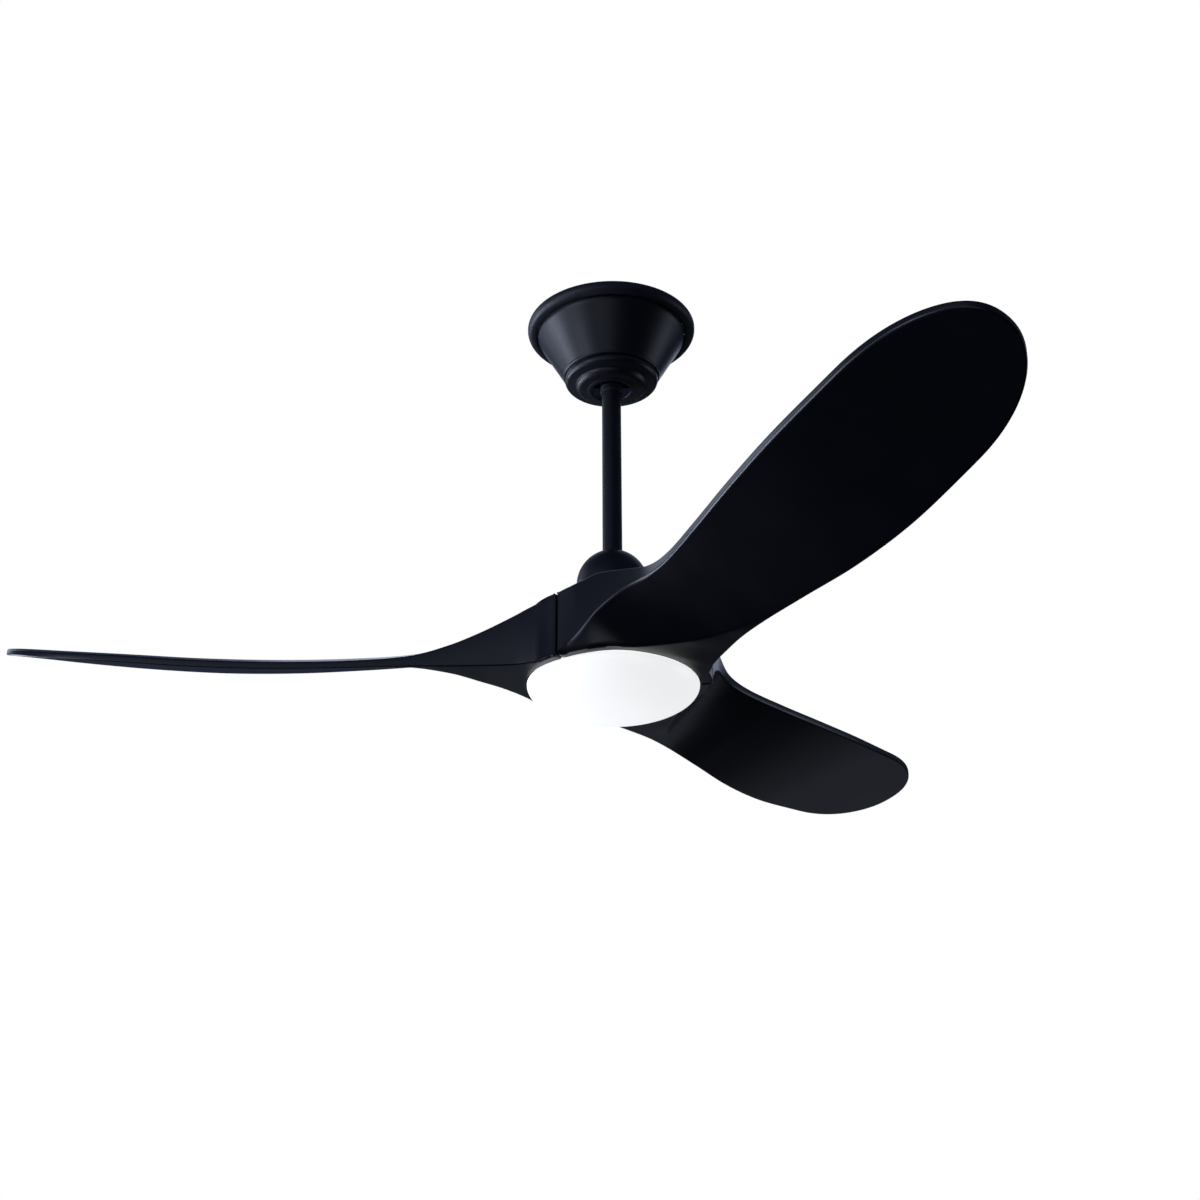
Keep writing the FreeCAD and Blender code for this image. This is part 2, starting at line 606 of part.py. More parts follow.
def lead_wires():
    """Wires down the rod and the shaft; the lamp wire turns to its terminal."""
    top, low = ROD_TOP + 8, SHAFT_END - 1.6
    wires = [rod(WIRE_R, (x, -WIRE_Y, -408), (x, -WIRE_Y, top)) for x in (-1.5, 1.5)]
    lamp_run = [(0, WIRE_Y, top), (0, WIRE_Y, low), (0, TERMINAL_Y, low)]
    wires.append(bent_wire(lamp_run, WIRE_R, WIRE_TURN))
    return Part.makeCompound(wires)


def light_lens():
    """Opal dome with a raised neck and three bayonet lugs."""
    t = LENS_T

    def arc_points(radius, depth, base):
        turns = [math.radians(90.0 * i / 10) for i in range(11)]
        return [V(radius * math.cos(a), 0, base - depth * math.sin(a)) for a in turns]

    outside = arc_points(LENS_R, LENS_DEPTH, RIM_Z)
    inside = arc_points(LENS_R - t, LENS_DEPTH - t, RIM_Z)
    inside.reverse()
    outer_curve = Part.BSplineCurve()
    outer_curve.interpolate(outside)
    inner_curve = Part.BSplineCurve()
    inner_curve.interpolate(inside)
    neck_in, neck_out, neck_top = PAN_R + 0.8, PAN_R + 3.0, LUG_Z + LUG_H + 1.4
    corners = [
        inside[-1], V(LENS_R - t, 0, RIM_Z + 0.2), V(neck_in, 0, RIM_Z + 0.2),
        V(neck_in, 0, neck_top), V(neck_out, 0, neck_top), V(neck_out, 0, RIM_Z + 2.0),
        V(LENS_R - 0.8, 0, RIM_Z + 2.0), V(LENS_R, 0, RIM_Z + 1.2), outside[0],
    ]
    edges = [outer_curve.toShape(), Part.makeLine(outside[-1], inside[0]), inner_curve.toShape()]
    edges += [Part.makeLine(a, b) for a, b in zip(corners, corners[1:])]
    shape = Part.Face(Part.Wire(edges)).revolve(V(0, 0, 0), UP, 360)
    lug = box(PAN_R - 0.6, neck_in + 1.0, -LUG_HALF, LUG_HALF, LUG_Z, LUG_Z + LUG_H)
    for piece in ring_of(lug, LUGS):
        shape = shape.fuse(piece)
    return shape


# ---- electrics in the canopy --------------------------------------------------------
RECEIVER = (-42.0, 42.0, 23.0, 47.0, -23.0, -4.0)


def remote_receiver():
    """Flat plastic receiver box beside the strap, with rounded edges."""
    shape = box(*RECEIVER)
    upright = [e for e in shape.Edges if abs(e.Vertexes[0].Z - e.Vertexes[1].Z) > 1]
    return shape.makeFillet(3.0, upright)


LEADS = range(3)
LEAD_Z, LEAD_END_X = -10.0, -24.0


def lead_row(number):
    """How far out, towards -Y, one of the three leads ends."""
    return -27.0 - 11.5 * number


def wire_connectors():
    """Three twist-on caps that join the house wires to the receiver's leads."""
    caps = []
    for number in LEADS:
        foot = V(LEAD_END_X, lead_row(number), LEAD_Z)
        caps.append(Part.makeCone(5.2, 3.4, 17, foot, V(1, 0, 0)))
    return Part.makeCompound(caps)


def receiver_leads():
    """Leads from the receiver's end, round the strap's leg, to the twist-on caps."""
    leads = []
    for number in LEADS:
        start_y, side = 28.0 + 6.0 * number, -50.0 - 5.0 * number
        corners = [
            (RECEIVER[0], start_y, LEAD_Z), (side, start_y, LEAD_Z),
            (side, lead_row(number), LEAD_Z), (LEAD_END_X, lead_row(number), LEAD_Z),
        ]
        leads.append(bent_wire(corners, WIRE_R, 4.0))
    return Part.makeCompound(leads)


def canopy_screws():
    """Two screws through the canopy's wall into the strap's ears."""
    pair = []
    for side in (-1, 1):
        pair.append(screw(1.9, 9.0, 3.6, 2.2, (side * CANOPY_R, 0, EAR_SCREW_Z), (-side, 0, 0)))
    return Part.makeCompound(pair)


# ---- write every sub-part ----------------------------------------------------------
write("hanger_bracket", hanger_bracket())
write("canopy", canopy())
write("canopy_trim_ring", canopy_ring())
write("canopy_screws", canopy_screws())
write("remote_receiver", remote_receiver())
write("receiver_leads", receiver_leads())
write("wire_connectors", wire_connectors())

write("hanger_ball", hanger_ball())
write("ball_cross_pin", rod(PIN_R - 0.05, (-19.2, 0, BALL_PIN_Z), (19.2, 0, BALL_PIN_Z)))
write("ball_set_screw", rod(LOCK_R, (0, ROD_R, BALL_Z + 6), (0, 18.0, BALL_Z + 6)))
write("rod_sleeve", tube(SLEEVE_R, ROD_R, SLEEVE_END, SLEEVE_TOP))
write("downrod", downrod())
write("motor_yoke", motor_yoke())
write("clevis_pin", clevis_pin())
write("hairpin_clip", hairpin_clip())
lock_pair = [
    rod(LOCK_R, (0, side * ROD_R, LOCK_Z), (0, side * (YOKE_R + 4), LOCK_Z)) for side in (-1, 1)
]
write("yoke_set_screws", Part.makeCompound(lock_pair))
write("lead_wires", lead_wires())
write("coupling_cover", coupling_cover())

write("motor_shaft", motor_shaft())
write("stator_core", stator_core())
write("stator_coils", stator_coils())
for place, middle in (("upper", UPPER_BEARING), ("lower", LOWER_BEARING)):
    write(place + "_bearing_inner_race", race(middle, True))
    write(place + "_bearing_outer_race", race(middle, False))
    write(place + "_bearing_balls", bearing_balls(middle))
    write(place + "_bearing_cage", bearing_cage(middle))
write("flux_ring", tube(HOUSING_R - HOUSING_WALL, MAGNET_OUT, FLUX_LOW, FLUX_HIGH))
write("magnets", magnets())
write("motor_housing_upper", motor_housing_upper())
write("motor_housing_lower", motor_housing_lower())
one_screw = screw(
    HOUSING_SCREW_R, 39.0, 2.4, 1.6, (HOUSING_SCREW_AT, 0, HOUSING_END), (0, 0, 1)
)
write("housing_screws", Part.makeCompound(ring_of(one_screw, HOUSING_SCREWS, 30.0)))

blade = blade_shape()
blade_screw = screw(
    BLADE_SCREW_R, 18.0, 4.2, 2.4, (BLADE_SCREW_AT, 0, ROOT_TOP + FLANGE_H), (0, 0, -1)
)
blade_screws = []
for number in range(BLADES):
    write("blade_" + str(number + 1), spun(blade, blade_axis(number)))
    for turn in BLADE_SCREW_TURNS:
        blade_screws.append(spun(blade_screw, blade_axis(number) + turn))
write("blade_screws", Part.makeCompound(blade_screws))

write("light_pan", light_pan())
write("shaft_nut", hex_prism(22.0, PAN_Z - 4.0, PAN_Z, SHAFT_R))
write("led_board", led_board())
write("led_chips", led_chips())
write("board_screws", board_screws())
write("light_terminal", light_terminal())
write("light_lens", light_lens())
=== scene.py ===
"""Looks of a ceiling fan with an LED light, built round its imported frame.

Everything is in metres in the frame's own axes: +Z up, the ceiling face at z = 0.
Sizes in the sections below are in millimetres and are turned to metres by MM.
"""
import bmesh
import bpy
import math
import numpy as np
from mathutils import Matrix, Vector


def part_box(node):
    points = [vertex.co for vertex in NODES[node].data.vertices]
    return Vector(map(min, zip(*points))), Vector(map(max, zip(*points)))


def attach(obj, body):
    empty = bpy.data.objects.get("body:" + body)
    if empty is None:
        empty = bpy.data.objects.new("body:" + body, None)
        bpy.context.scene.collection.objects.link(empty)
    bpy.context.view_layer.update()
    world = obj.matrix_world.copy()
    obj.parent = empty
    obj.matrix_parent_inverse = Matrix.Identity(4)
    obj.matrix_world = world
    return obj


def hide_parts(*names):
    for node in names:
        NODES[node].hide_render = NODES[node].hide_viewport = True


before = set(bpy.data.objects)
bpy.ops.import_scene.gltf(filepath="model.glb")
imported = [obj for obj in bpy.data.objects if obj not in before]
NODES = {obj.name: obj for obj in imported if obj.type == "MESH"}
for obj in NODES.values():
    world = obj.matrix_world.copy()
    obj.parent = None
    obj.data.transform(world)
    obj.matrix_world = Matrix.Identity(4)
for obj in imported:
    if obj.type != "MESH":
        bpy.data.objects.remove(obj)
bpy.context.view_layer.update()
MM = 0.001
RIM_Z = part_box("light_lens")[0].z + 30 * MM          # plane of the light's rim

# ==== Canopy and its trim ring ======================================================
# The canopy is a bell spun from 1.5 mm steel with two rolled beads at its mouth; the
# trim ring snaps round its top and hides its two screws. Both are powder-coated satin
# black, and the coat shows a faint orange peel and fine marks from handling. The ring's
# coat is painted a little lighter than the canopy's, as painted sheen.
def linear(colour, alpha=1.0):
    """An sRGB hex colour such as "#1a2b3c" as linear RGBA."""
    parts = [int(colour[i:i + 2], 16) / 255 for i in (1, 3, 5)]
    return [p / 12.92 if p <= 0.04045 else ((p + 0.055) / 1.055) ** 2.4 for p in parts] + [alpha]


def add_node(tree, kind, values=None, links=None, **settings):
    """Adds one node: its settings, its sockets' values, and what feeds its sockets."""
    node = tree.nodes.new(kind)
    for name, value in settings.items():
        setattr(node, name, value)
    for socket, value in (values or {}).items():
        node.inputs[socket].default_value = value
    for socket, source in (links or {}).items():
        tree.links.new(source, node.inputs[socket])
    return node


def new_material(name):
    """An empty node material and its tree."""
    material = bpy.data.materials.new(name)
    material.use_nodes = True
    material.node_tree.nodes.clear()
    return material, material.node_tree


def surface_finish(name, tones, gloss, grain, relief, cloud=60.0, stretch=(1, 1, 1), **sockets):
    """A real finish: two tones in soft clouds, a gloss range, and a fine relief.

    grain and cloud are the sizes of the pattern in millimetres, relief is the height of
    the grain in millimetres, and stretch makes the grain finer along an axis.
    """
    material, tree = new_material(name)
    place = add_node(tree, "ShaderNodeTexCoord").outputs["Object"]
    along = add_node(tree, "ShaderNodeMapping", {"Scale": stretch}, {"Vector": place})
    fine = add_node(
        tree, "ShaderNodeTexNoise", {"Scale": 1 / (grain * MM), "Detail": 3.0, "Roughness": 0.6},
        {"Vector": along.outputs[0]},
    )
    soft = add_node(
        tree, "ShaderNodeTexNoise", {"Scale": 1 / (cloud * MM), "Detail": 3.0, "Roughness": 0.5},
        {"Vector": place},
    )
    both = add_node(
        tree, "ShaderNodeMath", {2: 0.0}, {0: fine.outputs["Fac"], 1: soft.outputs["Fac"]},
        operation="MULTIPLY",
    )
    tone = add_node(
        tree, "ShaderNodeMix", {6: linear(tones[0]), 7: linear(tones[1])},
        {0: soft.outputs["Fac"]}, data_type="RGBA",
    )
    sheen = add_node(
        tree, "ShaderNodeMapRange",
        {"From Min": 0.12, "From Max": 0.4, "To Min": gloss[0], "To Max": gloss[1]},
        {"Value": both.outputs[0]},
    )
    bump = add_node(
        tree, "ShaderNodeBump", {"Strength": 0.6, "Distance": relief * MM},
        {"Height": fine.outputs["Fac"]},
    )
    shader = add_node(
        tree, "ShaderNodeBsdfPrincipled", sockets,
        {"Base Color": tone.outputs[2], "Roughness": sheen.outputs[0], "Normal": bump.outputs[0]},
    )
    add_node(tree, "ShaderNodeOutputMaterial", None, {"Surface": shader.outputs[0]})
    return material


def outline(start, *steps):
    """Points (r, z) of a closed outline; a pair of points is an arc through the first."""
    points = [start]
    for step in steps:
        if not isinstance(step[0], tuple):
            points.append(step)
            continue
        a, b, c = (np.array(p, float) for p in (points[-1], *step))
        ab, ac = b - a, c - a
        cross = 2 * (ab[0] * ac[1] - ab[1] * ac[0])
        centre = a + np.array([
            ac[1] * (ab @ ab) - ab[1] * (ac @ ac), ab[0] * (ac @ ac) - ac[0] * (ab @ ab),
        ]) / cross
        angles = [math.atan2(*(p - centre)[::-1]) for p in (a, b, c)]
        turn = 1 if cross > 0 else -1
        sweep = (turn * (angles[2] - angles[0])) % (2 * math.pi) * turn
        count = max(4, int(abs(sweep) / math.radians(7)))
        radius = np.linalg.norm(a - centre)
        for i in range(1, count + 1):
            angle = angles[0] + sweep * i / count
            points.append((centre[0] + radius * math.cos(angle), centre[1] + radius * math.sin(angle)))
    return points


def eased(points, ease=0.35):
    """The same closed outline with every hard corner broken by a small round."""
    result = []
    for i, here in enumerate(points):
        here = np.array(here, float)
        back = np.array(points[i - 1], float) - here
        ahead = np.array(points[(i + 1) % len(points)], float) - here
        long_back, long_ahead = np.linalg.norm(back), np.linalg.norm(ahead)
        if min(long_back, long_ahead) < 1e-6:
            continue
        bend = -(back @ ahead) / (long_back * long_ahead)
        if bend > math.cos(math.radians(25)):
            result.append(tuple(here))
            continue
        first = here + back / long_back * min(ease, long_back * 0.4)
        last = here + ahead / long_ahead * min(ease, long_ahead * 0.4)
        result += [tuple(first), tuple((first + last + 1.2 * here) / 3.2), tuple(last)]
    return result


def turned_mesh(name, points, sides=192):
    """A solid of revolution about Z from a closed (r, z) outline in millimetres."""
    angles = np.arange(sides) * 2 * math.pi / sides
    loop = np.maximum(np.array(points, float), (0, -1e9))
    verts = np.stack([
        np.outer(np.cos(angles), loop[:, 0]), np.outer(np.sin(angles), loop[:, 0]),
        np.outer(np.ones(sides), loop[:, 1]),
    ], -1).reshape(-1, 3) * MM
    count = len(loop)
    faces = []
    for i in range(sides):
        for j in range(count):
            a, b = i * count + j, i * count + (j + 1) % count
            c, d = (i + 1) % sides * count + j, (i + 1) % sides * count + (j + 1) % count
            faces.append((a, b, d, c))
    mesh = bpy.data.meshes.new(name)
    mesh.from_pydata(verts.tolist(), [], faces)
    clean(mesh)
    return mesh


def clean(mesh, merge=2e-6, sharp=math.radians(38)):
    """Merges doubles, drops collapsed faces, turns faces outward, and smooths."""
    work = bmesh.new()
    work.from_mesh(mesh)
    bmesh.ops.remove_doubles(work, verts=work.verts, dist=merge)
    bmesh.ops.dissolve_degenerate(work, edges=work.edges, dist=merge)
    bmesh.ops.recalc_face_normals(work, faces=work.faces)
    work.to_mesh(mesh)
    work.free()
    mesh.polygons.foreach_set("use_smooth", [True] * len(mesh.polygons))
    mesh.set_sharp_from_angle(angle=sharp)


def add_piece(name, mesh, material, body, slot, *replaced):
    piece = bpy.data.objects.new(name, mesh)
    bpy.context.scene.collection.objects.link(piece)
    mesh.materials.clear()
    mesh.materials.append(material)
    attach(piece, body)
    if replaced:
        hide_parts(*replaced)
    return piece


def refinish(material, *names):
    """Gives CAD nodes that keep their shape a better material."""
    for name in names:
        for slot in NODES[name].material_slots:
            slot.material = material


black_coat = surface_finish(
    "satin black powder coat on steel", ("#0f1118", "#151821"), (0.36, 0.48), 1.1, 0.010,
    IOR=1.5,
)
CANOPY_R, RING_R, RING_H, MOUTH_Z, MOUTH_R, SHEET = 83.2, 95.0, 14.0, -85.0, 21.0, 1.5
canopy_outline = outline(
    (CANOPY_R, -0.5), (CANOPY_R, -RING_H - 1),
    ((CANOPY_R - 0.6, -17.6), (CANOPY_R - 2.0, -20.0)),
    (54.6, -66.0), ((53.6, -68.2), (51.2, -68.8)),
    ((52.0, -73.8), (48.5, -77.4)), (40.0, -78.6),
    ((37.9, -82.4), (34.0, -84.4)), (27.0, MOUTH_Z), ((23.6, -85.95), (MOUTH_R, MOUTH_Z)),
    (MOUTH_R, MOUTH_Z + SHEET), ((23.6, -84.4), (27.0, MOUTH_Z + SHEET)), (33.3, -82.9),
    ((36.1, -81.4), (37.5, -78.0)), (38.1, -77.0), (47.8, -76.0),
    ((50.0, -74.0), (50.0, -71.2)), (49.2, -67.4), (52.8, -65.6),
    (CANOPY_R - SHEET - 2.2, -20.0), (CANOPY_R - SHEET, -15.0), (CANOPY_R - SHEET, -0.5),
)
add_piece("spun_canopy", turned_mesh("canopy", eased(canopy_outline)), black_coat, "root",
          "black_paint", "canopy")

# The ring's two tones are lighter than the canopy's coat of the same powder: painted sheen for the
# light its rounded face catches.
ring_coat_painted_sheen = surface_finish(
    "satin black powder coat with fine handling marks", ("#14171e", "#1d212a"), (0.44, 0.60),
    0.9, 0.012, cloud=9.0, stretch=(1, 14, 14), IOR=1.5,
)
ring_outline = outline(
    (CANOPY_R + 3.4, -0.3), (89.6, -0.3),
    ((93.6, -2.2), (RING_R, -6.8)), ((93.4, -11.6), (89.1, -13.9)),
    ((86.6, -14.0), (CANOPY_R + 0.3, -12.4)), (CANOPY_R + 0.3, -10.6), (CANOPY_R + 3.4, -10.6),
)
add_piece("rolled_trim_ring", turned_mesh("trim ring", eased(ring_outline)), ring_coat_painted_sheen, "root",
          "black_paint", "canopy_trim_ring")

# ==== Hanger bracket, canopy screws ================================================
# A U-shaped strap pressed from steel and dipped matte black; black-oxide screws hold the
# canopy to its ears. The strap's coat is painted near-black, darker than real paint: painted
# shade for the canopy's shaded inside.
zinc = surface_finish(
    "zinc-plated pressed steel", ("#9fa2a6", "#b9bcbf"), (0.28, 0.46), 2.4, 0.006, cloud=14.0,
    Metallic=1.0,
)
black_oxide = surface_finish(
    "black-oxide screw steel", ("#17181b", "#24262a"), (0.32, 0.5), 0.6, 0.005, cloud=5.0,
    Metallic=0.7,
)
# Near-black tones, darker than any real paint: painted shade where the strap sits in the canopy's
# shaded inside.
bracket_coat_painted_shade = surface_finish(
    "near-black dip coat on steel, painted shade", ("#050607", "#090a0c"), (0.7, 0.85), 1.1, 0.010, IOR=1.3
)
refinish(bracket_coat_painted_shade, "hanger_bracket")
refinish(black_oxide, "canopy_screws")

# ==== Remote receiver, its leads and the wire caps =================================
# A grained ABS box beside the ball, PVC-insulated leads, and three moulded twist-on
# caps, all hidden in the canopy.
receiver_abs = surface_finish(
    "grained black ABS", ("#1d1e21", "#27292c"), (0.55, 0.7), 0.7, 0.04, IOR=1.5
)
lead_pvc = surface_finish(
    "soft white PVC insulation", ("#c9c8c2", "#dcdbd6"), (0.42, 0.56), 1.5, 0.01, cloud=20.0
)
cap_plastic = surface_finish(
    "orange moulded polypropylene", ("#d9631c", "#e87a2e"), (0.28, 0.4), 0.9, 0.01, cloud=8.0
)
refinish(receiver_abs, "remote_receiver")
refinish(lead_pvc, "receiver_leads", "lead_wires")
refinish(cap_plastic, "wire_connectors")

# ==== Ball hanger ===================================================================
# A moulded nylon ball with a ground steel cross pin and a zinc-plated set screw. It
# rests in the bracket's socket.
ball_nylon = surface_finish(
    "moulded black nylon", ("#1b1c1e", "#242527"), (0.38, 0.52), 1.4, 0.012
)
ground_steel = surface_finish(
    "ground steel", ("#a3a6aa", "#b4b7ba"), (0.18, 0.3), 0.5, 0.002, cloud=12.0,
    stretch=(1, 1, 18), Metallic=1.0,
)
refinish(ball_nylon, "hanger_ball")
refinish(ground_steel, "ball_cross_pin", "clevis_pin", "motor_shaft")
refinish(zinc, "ball_set_screw", "hairpin_clip", "yoke_set_screws")

# ==== Rod sleeve ====================================================================
# A soft rubber collar on the rod, with two moulded ribs, that fills most of the
# canopy's mouth.
sleeve_low, sleeve_high = (p.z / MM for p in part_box("rod_sleeve"))
ROD_R, SLEEVE_R = 10.65, 12.3
rubber = surface_finish("soft black rubber", ("#121315", "#1c1d1f"), (0.6, 0.78), 0.8, 0.02)
sleeve_outline = outline(
    (ROD_R, sleeve_low), (SLEEVE_R - 0.6, sleeve_low), (SLEEVE_R - 0.1, sleeve_low + 1.0),
    ((SLEEVE_R, sleeve_low + 2.4), (SLEEVE_R - 0.1, sleeve_low + 3.8)),
    (SLEEVE_R - 0.6, sleeve_low + 4.4), (SLEEVE_R - 0.6, sleeve_low + 6.0),
    (SLEEVE_R - 0.1, sleeve_low + 6.6),
    ((SLEEVE_R, sleeve_low + 8.0), (SLEEVE_R - 0.1, sleeve_low + 9.4)),
    (SLEEVE_R - 0.6, sleeve_low + 10.0), (SLEEVE_R - 0.6, sleeve_high), (ROD_R, sleeve_high),
)
add_piece("rubber_rod_sleeve", turned_mesh("rod sleeve", eased(sleeve_outline, 0.25), 128),
          rubber, "hanger", "sleeve_rubber", "rod_sleeve")

# ==== Down rod ======================================================================
# Half-inch steel pipe in a deep black powder coat, its two ends faced and deburred.
# The coupling cover shares this coat.
pipe_coat = surface_finish(
    "deep black powder coat on steel", ("#0a0b10", "#0e1016"), (0.46, 0.58), 1.1, 0.010,
    IOR=1.45,
)
rod_low, rod_high = (p.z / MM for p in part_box("downrod"))
ROD_BORE = 8.2
rod_heights = np.linspace(rod_low + 1.5, rod_high - 1.5, 24)
rod_outline = (
    [(ROD_BORE, rod_low), (ROD_R, rod_low)] + [(ROD_R, z) for z in rod_heights]
    + [(ROD_R, rod_high), (ROD_BORE, rod_high)] + [(ROD_BORE, z) for z in rod_heights[::-1]]
)
add_piece("coated_down_rod", turned_mesh("down rod", eased(rod_outline, 0.5), 128),
          pipe_coat, "hanger", "black_paint", "downrod")
refinish(black_coat, "motor_yoke")

# ==== Coupling cover ================================================================
# A small dome pressed from 1.5 mm steel with a rolled foot, in the rod's black coat;
# it slides up the rod to reach the yoke.
cover_low, cover_top = (p.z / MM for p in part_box("coupling_cover"))
COVER_R, COVER_FOOT = 38.5, 3.0
rise = cover_top - cover_low - COVER_FOOT
hole = ROD_R + 0.3


def dome(radius, height, end, count=22):
    """Points of an elliptical dome from its foot up to radius end."""
    last = math.acos(end / radius)
    turns = [last * i / count for i in range(count + 1)]
    return [(radius * math.cos(t), cover_low + COVER_FOOT + height * math.sin(t)) for t in turns]


outer_dome = dome(COVER_R, rise / math.sin(math.acos((hole + 1.2) / COVER_R)), hole + 1.2)
inner_dome = dome(COVER_R - SHEET, outer_dome[-1][1] - cover_low - COVER_FOOT - SHEET, hole + 1.2)
cover_outline = (
    [(COVER_R - 0.5, cover_low), (COVER_R, cover_low + 0.5)] + outer_dome
    + [(hole + 0.2, outer_dome[-1][1]), (hole, outer_dome[-1][1] - 0.4), (hole, inner_dome[-1][1])]
    + inner_dome[::-1] + [(COVER_R - SHEET, cover_low)]
)
add_piece("pressed_coupling_cover", turned_mesh("coupling cover", cover_outline), pipe_coat,
          "cover", "black_paint", "coupling_cover")

# ==== Motor =========================================================================
# Inside the hub: a laminated stator with nine wound teeth on a hollow shaft, a steel
# flux ring with arc magnets, and two ball bearings with nylon cages.
laminations = surface_finish(
    "stacked silicon-steel laminations", ("#55585c", "#7b7e82"), (0.35, 0.55), 0.5, 0.05,
    cloud=20.0, stretch=(0.05, 0.05, 1), Metallic=1.0,
)
ferrite = surface_finish("dark sintered ferrite", ("#2a2b2e", "#3a3b3f"), (0.55, 0.75), 0.9, 0.03)
race_steel = surface_finish(
    "polished bearing steel", ("#b9bcc0", "#c9cccf"), (0.08, 0.16), 0.6, 0.001, Metallic=1.0
)
natural_nylon = surface_finish(
    "natural nylon", ("#cdbf94", "#dcd0ab"), (0.38, 0.5), 1.2, 0.01, cloud=10.0
)
refinish(laminations, "stator_core", "flux_ring")
refinish(ferrite, "magnets")
for level in ("upper", "lower"):
    refinish(race_steel, level + "_bearing_inner_race", level + "_bearing_outer_race",
             level + "_bearing_balls")
    refinish(natural_nylon, level + "_bearing_cage")

# ==== Stator coils ==================================================================
# Enamelled copper wire wound round each tooth: a layer of real turns that follows the
# tapered coil's outline. One turn is swept and repeated outward, then round the shaft.
STATOR_LOW, STATOR_HIGH, TEETH = -400.0, -376.0, 9
WIRE, COIL_IN, COIL_OUT = 1.0, 33.2, 61.0


def group(name, *sockets):
    """A geometry node group with a geometry output and these named inputs."""
    tree = bpy.data.node_groups.new(name, "GeometryNodeTree")
    tree.interface.new_socket("Geometry", in_out="OUTPUT", socket_type="NodeSocketGeometry")
    for label, kind in sockets:
        tree.interface.new_socket(label, in_out="INPUT", socket_type="NodeSocket" + kind)
    return tree, add_node(tree, "NodeGroupInput"), add_node(tree, "NodeGroupOutput")


def grown(name, tree, values, material):
    """Runs a node group on an empty mesh and returns what it makes as a clean mesh."""
    holder = bpy.data.objects.new(name, bpy.data.meshes.new(name))
    bpy.context.scene.collection.objects.link(holder)
    run = holder.modifiers.new("grow", "NODES")
    run.node_group = tree
    values = dict(values, Material=material)
    for item in tree.interface.items_tree:
        if item.in_out == "INPUT" and item.name in values:
            run[item.identifier] = values[item.name]
    seen = holder.evaluated_get(bpy.context.evaluated_depsgraph_get())
    mesh = bpy.data.meshes.new_from_object(seen)
    mesh.name = name
    holder.modifiers.clear()
    bpy.data.objects.remove(holder)
    clean(mesh)
    return mesh


def ring_group(name):
    """Repeats one part round the Z axis: count of them at a radius, height and turn."""
    tree, given, result = group(
        name, ("Part", "Object"), ("Count", "Int"), ("Radius", "Float"), ("Height", "Float"),
        ("First", "Float"), ("Material", "Material"),
    )
    part = add_node(tree, "GeometryNodeObjectInfo", None, {"Object": given.outputs["Part"]})
    line = add_node(
        tree, "GeometryNodeMeshLine", {"Offset": (0, 0, 0)}, {"Count": given.outputs["Count"]}
    )
    index = add_node(tree, "GeometryNodeInputIndex")
    share = add_node(
        tree, "ShaderNodeMath", None, {0: index.outputs[0], 1: given.outputs["Count"]},
        operation="DIVIDE",
    )
    turn = add_node(
        tree, "ShaderNodeMath", {1: 2 * math.pi},
        {0: share.outputs[0], 2: given.outputs["First"]}, operation="MULTIPLY_ADD",
    )
    angle = add_node(tree, "ShaderNodeCombineXYZ", None, {"Z": turn.outputs[0]})
    out = add_node(
        tree, "ShaderNodeCombineXYZ", None,
        {"X": given.outputs["Radius"], "Z": given.outputs["Height"]},
    )
    place = add_node(
        tree, "ShaderNodeVectorRotate", None, {"Vector": out.outputs[0], "Angle": turn.outputs[0]},
        rotation_type="Z_AXIS",
    )
    spread = add_node(
        tree, "GeometryNodeSetPosition", None,
        {"Geometry": line.outputs[0], "Position": place.outputs[0]},
    )
    copies = add_node(
        tree, "GeometryNodeInstanceOnPoints", None,
        {"Points": spread.outputs[0], "Instance": part.outputs["Geometry"],
         "Rotation": angle.outputs[0]},
    )
    real = add_node(tree, "GeometryNodeRealizeInstances", None, {0: copies.outputs[0]})
    dressed = add_node(
        tree, "GeometryNodeSetMaterial", None,
        {"Geometry": real.outputs[0], "Material": given.outputs["Material"]},
    )
    tree.links.new(dressed.outputs[0], result.inputs[0])
    return tree


def ring_mesh(name, pattern, material, *rings):
    """Copies of one pattern mesh in rings of (count, radius, height, first turn)."""
    part = bpy.data.objects.new(name + " pattern", pattern)
    bpy.context.scene.collection.objects.link(part)
    work = bmesh.new()
    for count, radius, height, first in rings:
        values = {"Part": part, "Count": count, "Radius": radius * MM, "Height": height * MM,
                  "First": math.radians(first)}
        work.from_mesh(grown(name, ring_of_parts, values, material))
    mesh = bpy.data.meshes.new(name)
    work.to_mesh(mesh)
    work.free()
    bpy.data.objects.remove(part)
    mesh.polygons.foreach_set("use_smooth", [True] * len(mesh.polygons))
    mesh.set_sharp_from_angle(angle=math.radians(38))
    return mesh


def tube_along(loop, radius, sides=8):
    """Vertices and faces of a closed wire of this radius along a closed 3-D loop."""
    loop = np.array(loop)
    ahead = np.roll(loop, -1, 0) - np.roll(loop, 1, 0)
    ahead /= np.linalg.norm(ahead, axis=1)[:, None]
    side = np.tile(np.array([1.0, 0, 0]), (len(loop), 1))
    up = np.cross(ahead, side)
    verts, faces = [], []
    for i in range(len(loop)):
        for k in range(sides):
            a = 2 * math.pi * k / sides
            verts.append(loop[i] + radius * (math.cos(a) * side[i] + math.sin(a) * up[i]))
            j, m = (i + 1) % len(loop), (k + 1) % sides
            faces.append((i * sides + k, i * sides + m, j * sides + m, j * sides + k))
    return verts, faces


